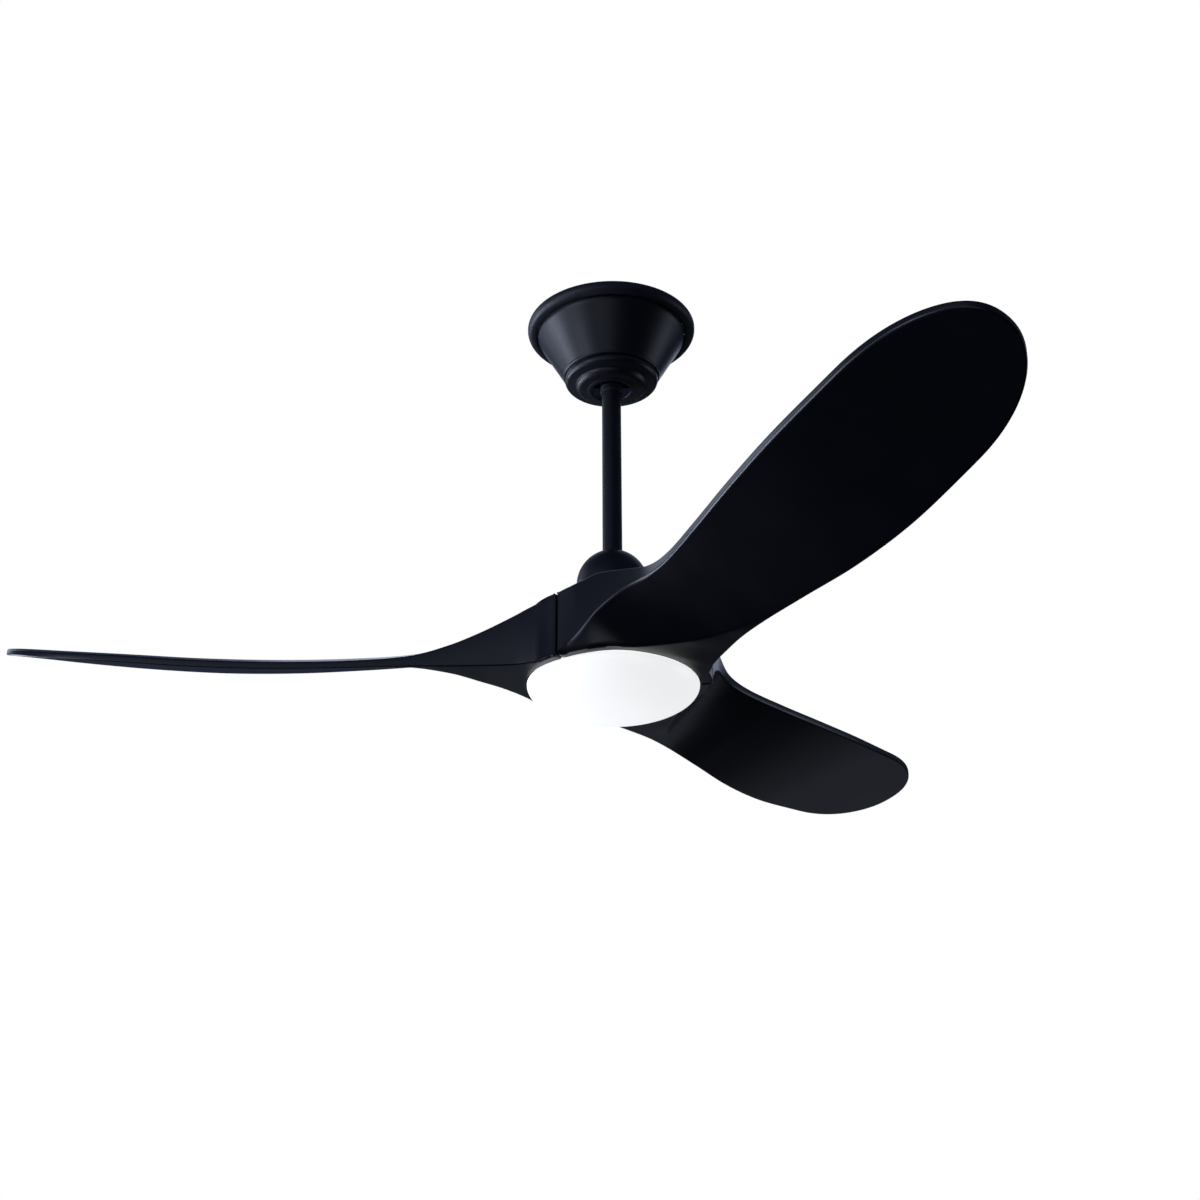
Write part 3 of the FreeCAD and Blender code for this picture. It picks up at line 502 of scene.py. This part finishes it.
def coil_mesh():
    """One coil lying along +X: turns side by side round a tooth, wider further out."""
    middle = (STATOR_LOW + STATOR_HIGH) / 2
    verts, faces = [], []
    at = COIL_IN
    while at <= COIL_OUT - WIRE / 2:
        half_y = min(at * 0.35, 10.5) - WIRE / 2 - 0.2
        half_z = (STATOR_HIGH - STATOR_LOW) / 2 + 5.5 - WIRE / 2
        round_off = min(3.0, half_y - 1.0)
        loop = []
        for corner, (sy, sz) in enumerate(((1, 1), (-1, 1), (-1, -1), (1, -1))):
            for step in range(5):
                angle = math.radians(90 * corner + 22.5 * step)
                loop.append((at, sy * (half_y - round_off) + round_off * math.cos(angle),
                             middle + sz * (half_z - round_off) + round_off * math.sin(angle)))
        some_verts, some_faces = tube_along(loop, WIRE / 2)
        faces += [tuple(i + len(verts) for i in face) for face in some_faces]
        verts += some_verts
        at += WIRE
    mesh = bpy.data.meshes.new("coil")
    mesh.from_pydata((np.array(verts) * MM).tolist(), [], faces)
    return mesh


ring_of_parts = ring_group("parts in a ring")
enamel = surface_finish(
    "enamelled copper wire", ("#a8552a", "#c46a34"), (0.2, 0.34), 1.2, 0.004, cloud=9.0,
    Metallic=1.0,
)
add_piece("wound_coils", ring_mesh("coils", coil_mesh(), enamel, (TEETH, 0, 0, 0)), enamel,
          "hanger", "copper_wire", "stator_coils")

# ==== Motor housing =================================================================
# Two die-cast aluminium shells, powder-coated satin black, inside the blade roots.
# They carry the bearings and the flux ring.
refinish(black_coat, "motor_housing_upper", "motor_housing_lower")

# ==== Housing and blade screws ======================================================
# Black-oxide pan heads with a cross recess: nine clamp the blade roots under the
# housing's flange, six close the housing from below.
PARKED_TURN = -3.9                  # the rotor's turn in the photograph, in degrees


def screw_mesh(radius, length, head_r, head_h, up):
    """A pan-head screw on the Z axis, its seat at z = 0 and its head towards up."""
    crown = head_h * 0.45
    recess, depth = head_r * 0.5, head_h * 0.55
    ring = 32
    levels = [
        (radius * 0.6, -length), (radius, -length + radius * 0.5), (radius, 0), (head_r, 0),
        (head_r, head_h - crown), (head_r * 0.86, head_h - crown * 0.4), (head_r * 0.62, head_h),
    ]
    thread = [
        (radius - 0.28 * (i % 2), -length + radius * 0.5 + 0.5 + i * 0.45)
        for i in range(int((length - 3.0) / 0.45))
    ]
    levels = levels[:2] + thread + levels[2:]
    verts, faces = [(0, 0, -length * up)], []
    for r, z in levels:
        verts += [(r * math.cos(2 * math.pi * k / ring), r * math.sin(2 * math.pi * k / ring), z * up)
                  for k in range(ring)]
    faces += [(0, 1 + (k + 1) % ring, 1 + k) for k in range(ring)]
    for level in range(len(levels) - 1):
        start = 1 + level * ring
        for k in range(ring):
            m = (k + 1) % ring
            faces.append((start + k, start + m, start + ring + m, start + ring + k))
    # the cross recess: the head's middle is a cross-shaped pocket with tapered walls
    start = 1 + (len(levels) - 1) * ring
    rim, floor_at = len(verts), len(verts) + ring
    for depth_z, scale in ((head_h, 1.0), (head_h - depth, 0.62)):
        for k in range(ring):
            angle = 2 * math.pi * k / ring
            arm = abs(math.cos(2 * angle)) ** 6
            r = recess * scale * (0.34 + 0.66 * arm)
            verts.append((r * math.cos(angle), r * math.sin(angle), depth_z * up))
    for k in range(ring):
        m = (k + 1) % ring
        faces.append((start + k, start + m, rim + m, rim + k))
        faces.append((rim + k, rim + m, floor_at + m, floor_at + k))
    faces.append(tuple(floor_at + k for k in range(ring)))
    mesh = bpy.data.meshes.new("screw")
    mesh.from_pydata((np.array(verts) * MM).tolist(), [], faces)
    clean(mesh)
    return mesh


SCREW_RING, SCREW_TURNS = 92.3, (-38.0, 0.0, 38.0)
BLADE_HEAD_H, HOUSING_HEAD_H = 2.4, 1.6
HOUSING_SCREW_RING, HOUSING_SCREW_START = 81.5, 30.0
screw_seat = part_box("blade_screws")[1].z / MM - BLADE_HEAD_H
blade_screw_rings = [
    (3, SCREW_RING, screw_seat, 180 + PARKED_TURN + turn) for turn in SCREW_TURNS
]
add_piece("blade_screw_set",
          ring_mesh("blade screws", screw_mesh(2.3, 18.0, 4.2, BLADE_HEAD_H, 1),
                    black_oxide, *blade_screw_rings),
          black_oxide, "rotor", "black_screw", "blade_screws")
housing_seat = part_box("housing_screws")[0].z / MM + HOUSING_HEAD_H
add_piece("housing_screw_set",
          ring_mesh("housing screws", screw_mesh(1.45, 39.0, 2.4, HOUSING_HEAD_H, -1),
                    black_oxide,
                    (6, HOUSING_SCREW_RING, housing_seat, HOUSING_SCREW_START)),
          black_oxide, "rotor", "black_screw", "housing_screws")

# ==== Blades ========================================================================
# Three moulded ABS blades, satin black. Each is carved like a propeller: its root is a
# third of the hub, as tall as the motor at the seams, and it twists out to a thin paddle.
SWEEP_R, HUB_H = 660.0, 68.0
BLADE_PITCH = 120.0
SEAM_HALF = 1.1                     # half of the open joint between two roots
ROOT_BORE, LIGHT_BORE, FLANGE_BORE = 86.0, 91.5, 99.5
LIGHT_BORE_TOP = 18.0               # height of the light's recess over its rim
FLANGE_SINK = 6.0                   # the flange lies this far under the hub's top
TIP_START, TIP_POWER, CROWN = 530.0, 2.25, 0.035
EDGE_ROUND = 1.7
# distance out; right edge, underside and wall; flare's inset and drop; left edge,
# underside and wall. Right and left are as seen from above, looking out.
# These aren't chosen by hand: most rows are the rounded, smoothed output of a fit
# to the photograph's outlines. Sections worked out from a few driving dimensions
# should replace them. The row at 84 is eased by up to 0.8 mm from part.py's.
STATIONS = (
    (52.0, -90.0, 1.5, 66.5, 176.0, 1.0, 90.0, 0.0, 68.0),
    (70.0, -78.5, 12.5, 60.0, 147.0, 10.2, 75.5, 0.0, 65.0),
    (84.0, -71.9, 23.5, 50.5, 125.5, 17.6, 70.2, 0.2, 60.0),
    (98.0, -66.0, 34.0, 41.5, 94.0, 22.0, 66.0, 0.5, 54.0),
    (130.0, -53.0, 46.5, 22.5, 52.5, 20.0, 62.8, 2.0, 38.0),
    (165.0, -44.0, 48.0, 11.5, 21.5, 9.0, 61.0, 3.5, 23.0),
    (205.0, -43.8, 47.2, 8.4, 8.0, 1.6, 62.3, 4.0, 11.5),
    (270.0, -50.7, 47.6, 8.0, 6.0, 0.2, 66.0, 2.8, 8.0),
    (350.0, -59.4, 50.0, 8.0, 6.0, 0.2, 71.8, 2.0, 8.0),
    (430.0, -64.2, 54.5, 8.0, 6.0, 0.2, 74.3, 6.0, 8.0),
    (510.0, -63.6, 61.2, 7.6, 6.0, 0.2, 72.0, 15.0, 7.6),
    (590.0, -60.2, 69.7, 7.2, 6.0, 0.2, 66.5, 24.6, 7.2),
    (660.0, -54.8, 78.0, 6.8, 6.0, 0.2, 60.9, 34.8, 6.8),
)


def station(out):
    """All values at distances out, on smooth curves through the stations (arrays)."""
    table = np.array(STATIONS)
    outs, columns = table[:, 0], table[:, 1:]
    last = len(outs) - 1
    before = np.maximum(np.arange(last + 1) - 1, 0)
    after = np.minimum(np.arange(last + 1) + 1, last)
    slopes = (columns[after] - columns[before]) / (outs[after] - outs[before])[:, None]
    out = np.maximum(out, outs[0])
    i = np.clip(np.searchsorted(outs, out, side="right") - 1, 0, last - 1)
    span = outs[i + 1] - outs[i]
    t = ((out - outs[i]) / span)[..., None]
    span = span[..., None]
    return (
        (2 * t**3 - 3 * t**2 + 1) * columns[i] + (t**3 - 2 * t**2 + t) * span * slopes[i]
        + (3 * t**2 - 2 * t**3) * columns[i + 1] + (t**3 - t**2) * span * slopes[i + 1]
    )


def tip_narrowing(out):
    """How much the rounded tip narrows the blade: 1 before it starts, 0 at its end."""
    run = np.clip((out - TIP_START) / (SWEEP_R - TIP_START), 0, 1)
    return (1 - run**TIP_POWER) ** (1 / TIP_POWER)


def blade_heights(out, across):
    """Heights of the underside and the upper side over the light's rim."""
    values = np.moveaxis(station(out), -1, 0)
    right, right_z, right_wall, inset, drop, left, left_z, left_wall = values
    narrow = tip_narrowing(out)
    tilt = (left_z - right_z) / (left - right)
    border = left * narrow - inset * narrow

    def chord(v):
        return right_z + tilt * (v - right)

    border_z = chord(border) - drop
    near, far = right * narrow, left * narrow
    slope_u = (border_z - chord(near)) / np.minimum(near - border, -1e-6) * -1
    slope_f = (chord(far) - border_z) / np.maximum(far - border, 1e-6)
    side_u = border_z + slope_u * (across - border)
    side_f = border_z + slope_f * (across - border)
    soft = 0.05 * drop
    under = 0.5 * (side_u + side_f + np.sqrt((side_u - side_f) ** 2 + soft**2))
    share = np.clip((across - near) / np.maximum(far - near, 1e-6), 0, 1)
    top_near, top_far = chord(near) + right_wall, chord(far) + left_wall
    crown = CROWN * (far - near) * 4 * share * (1 - share)
    over = top_near + (top_far - top_near) * share + crown
    return under, over


def blade_grid():
    """Rows of points over the blade's plan, from the motor's bore to the tip."""
    steps = np.linspace(-1, 1, 73)
    spread = np.sin(steps * math.pi / 2) * 0.35 + steps * 0.65     # closer at both edges
    edge = np.array([0.0, 0.0012, 0.0035, 0.007, 0.012, 0.019])
    spread = np.unique(np.concatenate([spread, -1 + edge, 1 - edge]))
    rows = []
    third = math.radians(BLADE_PITCH / 2)
    arcs = [ROOT_BORE, 88.0, 90.5, LIGHT_BORE, LIGHT_BORE, 92.3, 94.0, 96.5, FLANGE_BORE,
            FLANGE_BORE, 101.0, 102.6]
    half_span = math.sin(third)
    for radius in arcs:
        rows.append((radius / 2, radius / 2, radius * half_span, -radius * half_span))
    outs = np.concatenate([
        np.arange(52.0, 230.0, 2.5), np.arange(230.0, 560.0, 5.0),
        560 + (SWEEP_R - 560) * np.sin(np.linspace(0, math.pi / 2, 46)) ** 0.9,
    ])
    outs = np.minimum(outs, SWEEP_R - 0.02)
    for out in outs:
        values = station(np.array(out))
        narrow = float(tip_narrowing(out))
        fade = np.clip((out - 52.0) / 190.0, 0, 1)
        bulge = 52.0 * (1 - fade) ** 2 * (1 + 0.9 * fade)
        rows.append((out, bulge, values[5] * narrow, values[0] * narrow))
    points = []
    for start, bulge, left, right in rows:
        angle = third * spread
        lateral = np.sin(angle) / half_span
        u = start + bulge * (np.cos(angle) - 0.5) / 0.5
        v = (left + right) / 2 + (left - right) / 2 * lateral
        # the seam planes cut the ends of the first rows; those points slide along the row
        for side in (1, -1):
            clear = u * half_span - side * v * 0.5
            over = clear < SEAM_HALF
            v = np.where(over, side * (u * half_span - SEAM_HALF) * 2, v)
        points.append(np.stack([u, v], 1))
    return np.array(points), len(arcs)


def edge_distance(grid):
    """Distance of every grid point to the blade's outline, seams included."""
    outline = np.concatenate([grid[::-1, 0], grid[:, -1]])
    a, b = outline[:-1], outline[1:]
    run = b - a
    length = np.maximum((run**2).sum(1), 1e-12)
    flat = grid.reshape(-1, 2)
    near = np.full(len(flat), 1e9)
    for start in range(0, len(flat), 2000):
        part = flat[start:start + 2000]
        t = np.clip(((part[:, None] - a) * run).sum(2) / length, 0, 1)
        gap = part[:, None] - (a + t[..., None] * run)
        near[start:start + 2000] = np.sqrt((gap**2).sum(2)).min(1)
    tip_gap = SWEEP_R - flat[:, 0]
    return np.minimum(near, np.maximum(tip_gap, 0)).reshape(grid.shape[:2])


def rounded(distance, radius):
    """How far a rounded edge falls away at a distance inside it."""
    reach = np.clip(radius - distance, 0, radius)
    return radius - np.sqrt(np.maximum(radius**2 - reach**2, 0))


def blade_mesh(name):
    """The blade as a closed mesh lying along +X, heights over the light's rim."""
    grid, arc_rows = blade_grid()
    u, v = grid[..., 0], grid[..., 1]
    away = edge_distance(grid)
    under, over = blade_heights(u, v)
    thick = over - under
    radius = np.minimum(EDGE_ROUND, thick * 0.36)
    fall = rounded(away, radius)
    top, low = over - fall, under + fall
    radial = np.hypot(u, v)
    light_edge = np.where(radial > LIGHT_BORE + 1e-6, rounded(radial - LIGHT_BORE, 1.0), 0)
    low = low + light_edge
    for i in range(arc_rows):
        inside_light = i <= 3
        inside_flange = i <= 8
        if inside_light:
            low[i] = LIGHT_BORE_TOP
        if inside_flange:
            top[i] = HUB_H - FLANGE_SINK
    rows, columns = u.shape
    upper = np.stack([u, v, top], -1).reshape(-1, 3)
    lower = np.stack([u, v, low], -1).reshape(-1, 3)
    verts = np.concatenate([upper, lower]) * MM
    shift = rows * columns
    faces = []
    for i in range(rows - 1):
        for j in range(columns - 1):
            a, b = i * columns + j, i * columns + j + 1
            c, d = a + columns, b + columns
            faces.append((a, c, d, b))
            faces.append((a + shift, b + shift, d + shift, c + shift))
        for j in (0, columns - 1):
            a, c = i * columns + j, (i + 1) * columns + j
            quad = (a, a + shift, c + shift, c)
            faces.append(quad if j == 0 else quad[::-1])
    for i in (0, rows - 1):
        for j in range(columns - 1):
            a, b = i * columns + j, i * columns + j + 1
            quad = (a, b, b + shift, a + shift)
            faces.append(quad if i == 0 else quad[::-1])
    mesh = bpy.data.meshes.new(name)
    mesh.from_pydata(verts.tolist(), [], faces)
    clean(mesh)
    return mesh


def satin_black_abs():
    """Moulded ABS, spray-finished satin black: a very fine orange peel in a soft sheen."""
    material, tree = new_material("satin black sprayed ABS")
    place = add_node(tree, "ShaderNodeTexCoord").outputs["Object"]
    peel = add_node(
        tree, "ShaderNodeTexNoise", {"Scale": 1 / (2.2 * MM), "Detail": 3.0, "Roughness": 0.55},
        {"Vector": place},
    )
    cloud = add_node(
        tree, "ShaderNodeTexNoise", {"Scale": 1 / (70 * MM), "Detail": 2.0}, {"Vector": place}
    )
    tone = add_node(
        tree, "ShaderNodeMix", {6: linear("#090b11"), 7: linear("#0e1119")},
        {0: cloud.outputs["Fac"]}, data_type="RGBA",
    )
    gloss = add_node(
        tree, "ShaderNodeMapRange", {"To Min": 0.27, "To Max": 0.35},
        {"Value": cloud.outputs["Fac"]},
    )
    bump = add_node(
        tree, "ShaderNodeBump", {"Strength": 0.10, "Distance": 0.05 * MM},
        {"Height": peel.outputs["Fac"]},
    )
    shader = add_node(
        tree, "ShaderNodeBsdfPrincipled", {"IOR": 1.5},
        {"Base Color": tone.outputs[2], "Roughness": gloss.outputs[0], "Normal": bump.outputs[0]},
    )
    add_node(tree, "ShaderNodeOutputMaterial", None, {"Surface": shader.outputs[0]})
    return material


black_abs = satin_black_abs()
blade_pattern = blade_mesh("blade")
for number in range(3):
    mesh = blade_pattern.copy()
    turn = math.radians(180 + PARKED_TURN + BLADE_PITCH * number)
    mesh.transform(Matrix.Translation((0, 0, RIM_Z)) @ Matrix.Rotation(turn, 4, "Z"))
    add_piece(f"moulded_blade_{number + 1}", mesh, black_abs, "rotor", "blade_plastic",
              f"blade_{number + 1}")

# ==== Light: pan, board and terminal ================================================
# A zinc-plated dish on the shaft carries a white aluminium-backed board, a terminal
# block and three small screws; the shaft nut closes the stack.
board_white = surface_finish(
    "white solder mask on aluminium", ("#dfe1e1", "#eceeee"), (0.3, 0.42), 2.0, 0.006
)
terminal_nylon = surface_finish(
    "white nylon terminal", ("#d3d2cc", "#e0dfda"), (0.4, 0.52), 1.0, 0.01, cloud=8.0
)
refinish(zinc, "light_pan", "shaft_nut", "board_screws")
refinish(board_white, "led_board")
refinish(terminal_nylon, "light_terminal")

# ==== LED chips =====================================================================
# Surface-mounted emitters: a white housing with a yellow phosphor window, in three
# rings on the board.


def chip_mesh():
    """One emitter, 3.5 by 2.8 mm, with a sunk window, hanging from z = 0."""
    half_x, half_y, deep, sunk, inset = 1.75, 1.4, 0.8, 0.15, 0.35
    verts = []
    for z, shrink in ((0, 0), (-deep, 0.05), (-deep, inset), (-deep + sunk, inset + 0.1)):
        verts += [(sx * (half_x - shrink), sy * (half_y - shrink), z)
                  for sx, sy in ((-1, -1), (1, -1), (1, 1), (-1, 1))]
    faces = [(3, 2, 1, 0), (12, 13, 14, 15)]
    for level in range(3):
        a = level * 4
        faces += [(a + k, a + (k + 1) % 4, a + 4 + (k + 1) % 4, a + 4 + k) for k in range(4)]
    mesh = bpy.data.meshes.new("chip")
    mesh.from_pydata((np.array(verts) * MM).tolist(), [], faces)
    clean(mesh)
    return mesh


phosphor = surface_finish(
    "yellow phosphor in clear silicone", ("#e0b94a", "#efcf6a"), (0.22, 0.3), 0.4, 0.01,
    cloud=3.0,
)
chip_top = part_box("led_chips")[1].z / MM
add_piece("led_emitters",
          ring_mesh("chips", chip_mesh(), phosphor, (8, 30.0, chip_top, 22.5),
                    (12, 44.0, chip_top, 10.0), (18, 58.0, chip_top, 10.0)),
          phosphor, "hanger", "led_phosphor", "led_chips")

# ==== Lens ==========================================================================
# A blow-moulded opal acrylic dome, lit evenly from inside, on a raised neck with three
# bayonet lugs that twist into the pan.
LENS_R, LENS_DEPTH, LENS_T, NECK_IN, NECK_OUT = 90.0, 30.0, 2.5, 81.8, 84.0
rim, neck_top = RIM_Z / MM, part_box("light_lens")[1].z / MM


def bowl(radius, depth, count=40):
    """Points of the dome from its rim down to its lowest point."""
    turns = [math.pi / 2 * i / count for i in range(count + 1)]
    return [(radius * math.cos(t), rim - depth * math.sin(t)) for t in turns]


lens_outline = (
    [(NECK_IN, rim + 0.2), (NECK_IN, neck_top), (NECK_OUT, neck_top), (NECK_OUT, rim + 2.0)]
    + [(LENS_R - 0.8, rim + 2.0), (LENS_R - 0.2, rim + 1.6), (LENS_R, rim + 1.0)]
    + bowl(LENS_R, LENS_DEPTH) + bowl(LENS_R - LENS_T, LENS_DEPTH - LENS_T)[::-1]
)
opal, tree = new_material("opal white acrylic, lit from inside")
place = add_node(tree, "ShaderNodeTexCoord").outputs["Object"]
depth = add_node(
    tree, "ShaderNodeTexNoise", {"Scale": 1 / (35 * MM), "Detail": 2.0}, {"Vector": place}
)
body_tone = add_node(
    tree, "ShaderNodeMix", {6: linear("#f1f1ef"), 7: linear("#f7f7f6")},
    {0: depth.outputs["Fac"]}, data_type="RGBA",
)
glow_tone = add_node(
    tree, "ShaderNodeMix", {6: linear("#ececec"), 7: linear("#f0f0ef")},
    {0: depth.outputs["Fac"]}, data_type="RGBA",
)
shader = add_node(
    tree, "ShaderNodeBsdfPrincipled", {"Roughness": 0.32, "IOR": 1.49, "Emission Strength": 0.93},
    {"Base Color": body_tone.outputs[2], "Emission Color": glow_tone.outputs[2]},
)
add_node(tree, "ShaderNodeOutputMaterial", None, {"Surface": shader.outputs[0]})
add_piece("opal_dome", turned_mesh("lens", eased(lens_outline, 0.3), 256), opal, "lens",
          "opal_diffuser", "light_lens")

# ==== Studio ========================================================================
# The fan hangs in a white room corner without edges. The floor lies well below it, and
# soft boxes stand where a photographer would put them: left, right, behind and low.
CAMERA_DISTANCE, CAMERA_BELOW = 1.845, math.radians(21.73)
CAMERA_PITCH, CAMERA_TURN, CAMERA_ROLL = (math.radians(a) for a in (24.52, 2.59, 0.71))
LENS_MM, SENSOR_MM = 53.04, 36.0
FRAMING_SHIFT = 0.05                 # the view is cropped a little to the right
FLOOR_DROP = 1.15

camera_data = bpy.data.cameras.new("camera")
camera_data.lens, camera_data.sensor_width = LENS_MM, SENSOR_MM
camera_data.clip_end = 50
camera_data.shift_x = FRAMING_SHIFT
camera = bpy.data.objects.new("camera", camera_data)
camera.location = (
    0,
    -CAMERA_DISTANCE * math.cos(CAMERA_BELOW),
    RIM_Z - CAMERA_DISTANCE * math.sin(CAMERA_BELOW),
)
aim = Matrix.Rotation(CAMERA_TURN, 3, "Z") @ Matrix.Rotation(math.radians(90) + CAMERA_PITCH, 3, "X")
camera.rotation_euler = (aim @ Matrix.Rotation(CAMERA_ROLL, 3, "Z")).to_euler()
bpy.context.scene.collection.objects.link(camera)
bpy.context.scene.camera = camera


world = bpy.data.worlds.new("studio")
bpy.context.scene.world = world
world.use_nodes = True
sky = world.node_tree
sky.nodes.clear()
rays = add_node(sky, "ShaderNodeLightPath")
direction = add_node(sky, "ShaderNodeTexCoord").outputs["Generated"]
upward = add_node(sky, "ShaderNodeSeparateXYZ", None, {0: direction}).outputs["Z"]
rise = add_node(
    sky, "ShaderNodeMapRange", {"From Min": -0.35, "From Max": 0.75}, {"Value": upward},
    interpolation_type="SMOOTHSTEP",
)
room = add_node(
    sky, "ShaderNodeMix", {6: linear("#0a0c12"), 7: linear("#58678f")}, {0: rise.outputs[0]},
    data_type="RGBA",
)
fill = add_node(sky, "ShaderNodeBackground", {"Strength": 0.55}, {"Color": room.outputs[2]})
white = add_node(sky, "ShaderNodeBackground", {"Color": linear("#ffffff"), "Strength": 1.0})
seen = add_node(
    sky, "ShaderNodeMixShader", None,
    {0: rays.outputs["Is Camera Ray"], 1: fill.outputs[0], 2: white.outputs[0]},
)
add_node(sky, "ShaderNodeOutputWorld", None, {"Surface": seen.outputs[0]})
bpy.context.scene.view_settings.view_transform = "Standard"

floor_mesh = bpy.data.meshes.new("floor")
half = 12.0
floor_z = camera.location.z - FLOOR_DROP
floor_mesh.from_pydata(
    [(-half, -half, floor_z), (half, -half, floor_z), (half, half, floor_z), (-half, half, floor_z)],
    [], [(0, 1, 2, 3)],
)
floor = bpy.data.objects.new("floor", floor_mesh)
bpy.context.scene.collection.objects.link(floor)
pale, tree = new_material("pale painted floor")
surface = add_node(tree, "ShaderNodeBsdfDiffuse", {"Color": linear("#f2f2f2")})
add_node(tree, "ShaderNodeOutputMaterial", None, {"Surface": surface.outputs[0]})
floor_mesh.materials.append(pale)
floor.visible_glossy = False
floor.visible_diffuse = False

LIGHTS = (
    # name, place, what it looks at, width, height, power
    ("key_left", (-2.50, 0.35, -0.80), (0.0, 0.0, -0.25), 0.9, 1.2, 30.0),
    ("edge_left", (-2.20, 1.40, -1.00), (0.0, 0.0, -0.42), 0.6, 0.9, 26.0),
    ("wall_left", (-2.10, 1.30, 0.85), (0.0, 0.0, -0.42), 1.2, 1.0, 7.0),
    ("crease_low", (-2.20, 1.05, -1.75), (0.0, 0.0, -0.42), 0.6, 0.6, 11.0),
    ("side_left", (-2.20, -1.50, -0.45), (0.0, 0.0, -0.20), 0.8, 1.3, 15.0),
    ("front_low", (-0.60, -2.70, -1.60), (0.0, 0.0, -0.42), 1.4, 0.5, 4.0),
    ("front_soft", (-1.20, -2.60, 0.20), (0.0, 0.0, -0.40), 2.0, 1.6, 5.0),
    ("rim_right", (2.30, 0.50, -0.60), (0.0, 0.0, -0.30), 0.8, 1.8, 6.5),
    ("back_low", (0.20, 2.60, -1.20), (0.0, 0.0, -0.42), 3.0, 0.9, 1.5),
    ("back_high", (0.30, 2.60, 1.10), (0.0, 0.0, -0.30), 2.0, 1.0, 8.0),
    ("top", (0.20, 1.70, 1.30), (0.0, 0.0, -0.40), 2.2, 1.2, 9.0),
)
for name, place, aim, wide, tall, power in LIGHTS:
    data = bpy.data.lights.new(name, "AREA")
    data.shape, data.size, data.size_y, data.energy = "RECTANGLE", wide, tall, power
    lamp = bpy.data.objects.new(name, data)
    lamp.location = place
    lamp.rotation_euler = (Vector(aim) - Vector(place)).to_track_quat("-Z", "Y").to_euler()
    data.color = linear("#d4def5")[:3]
    lamp.visible_camera = False
    bpy.context.scene.collection.objects.link(lamp)
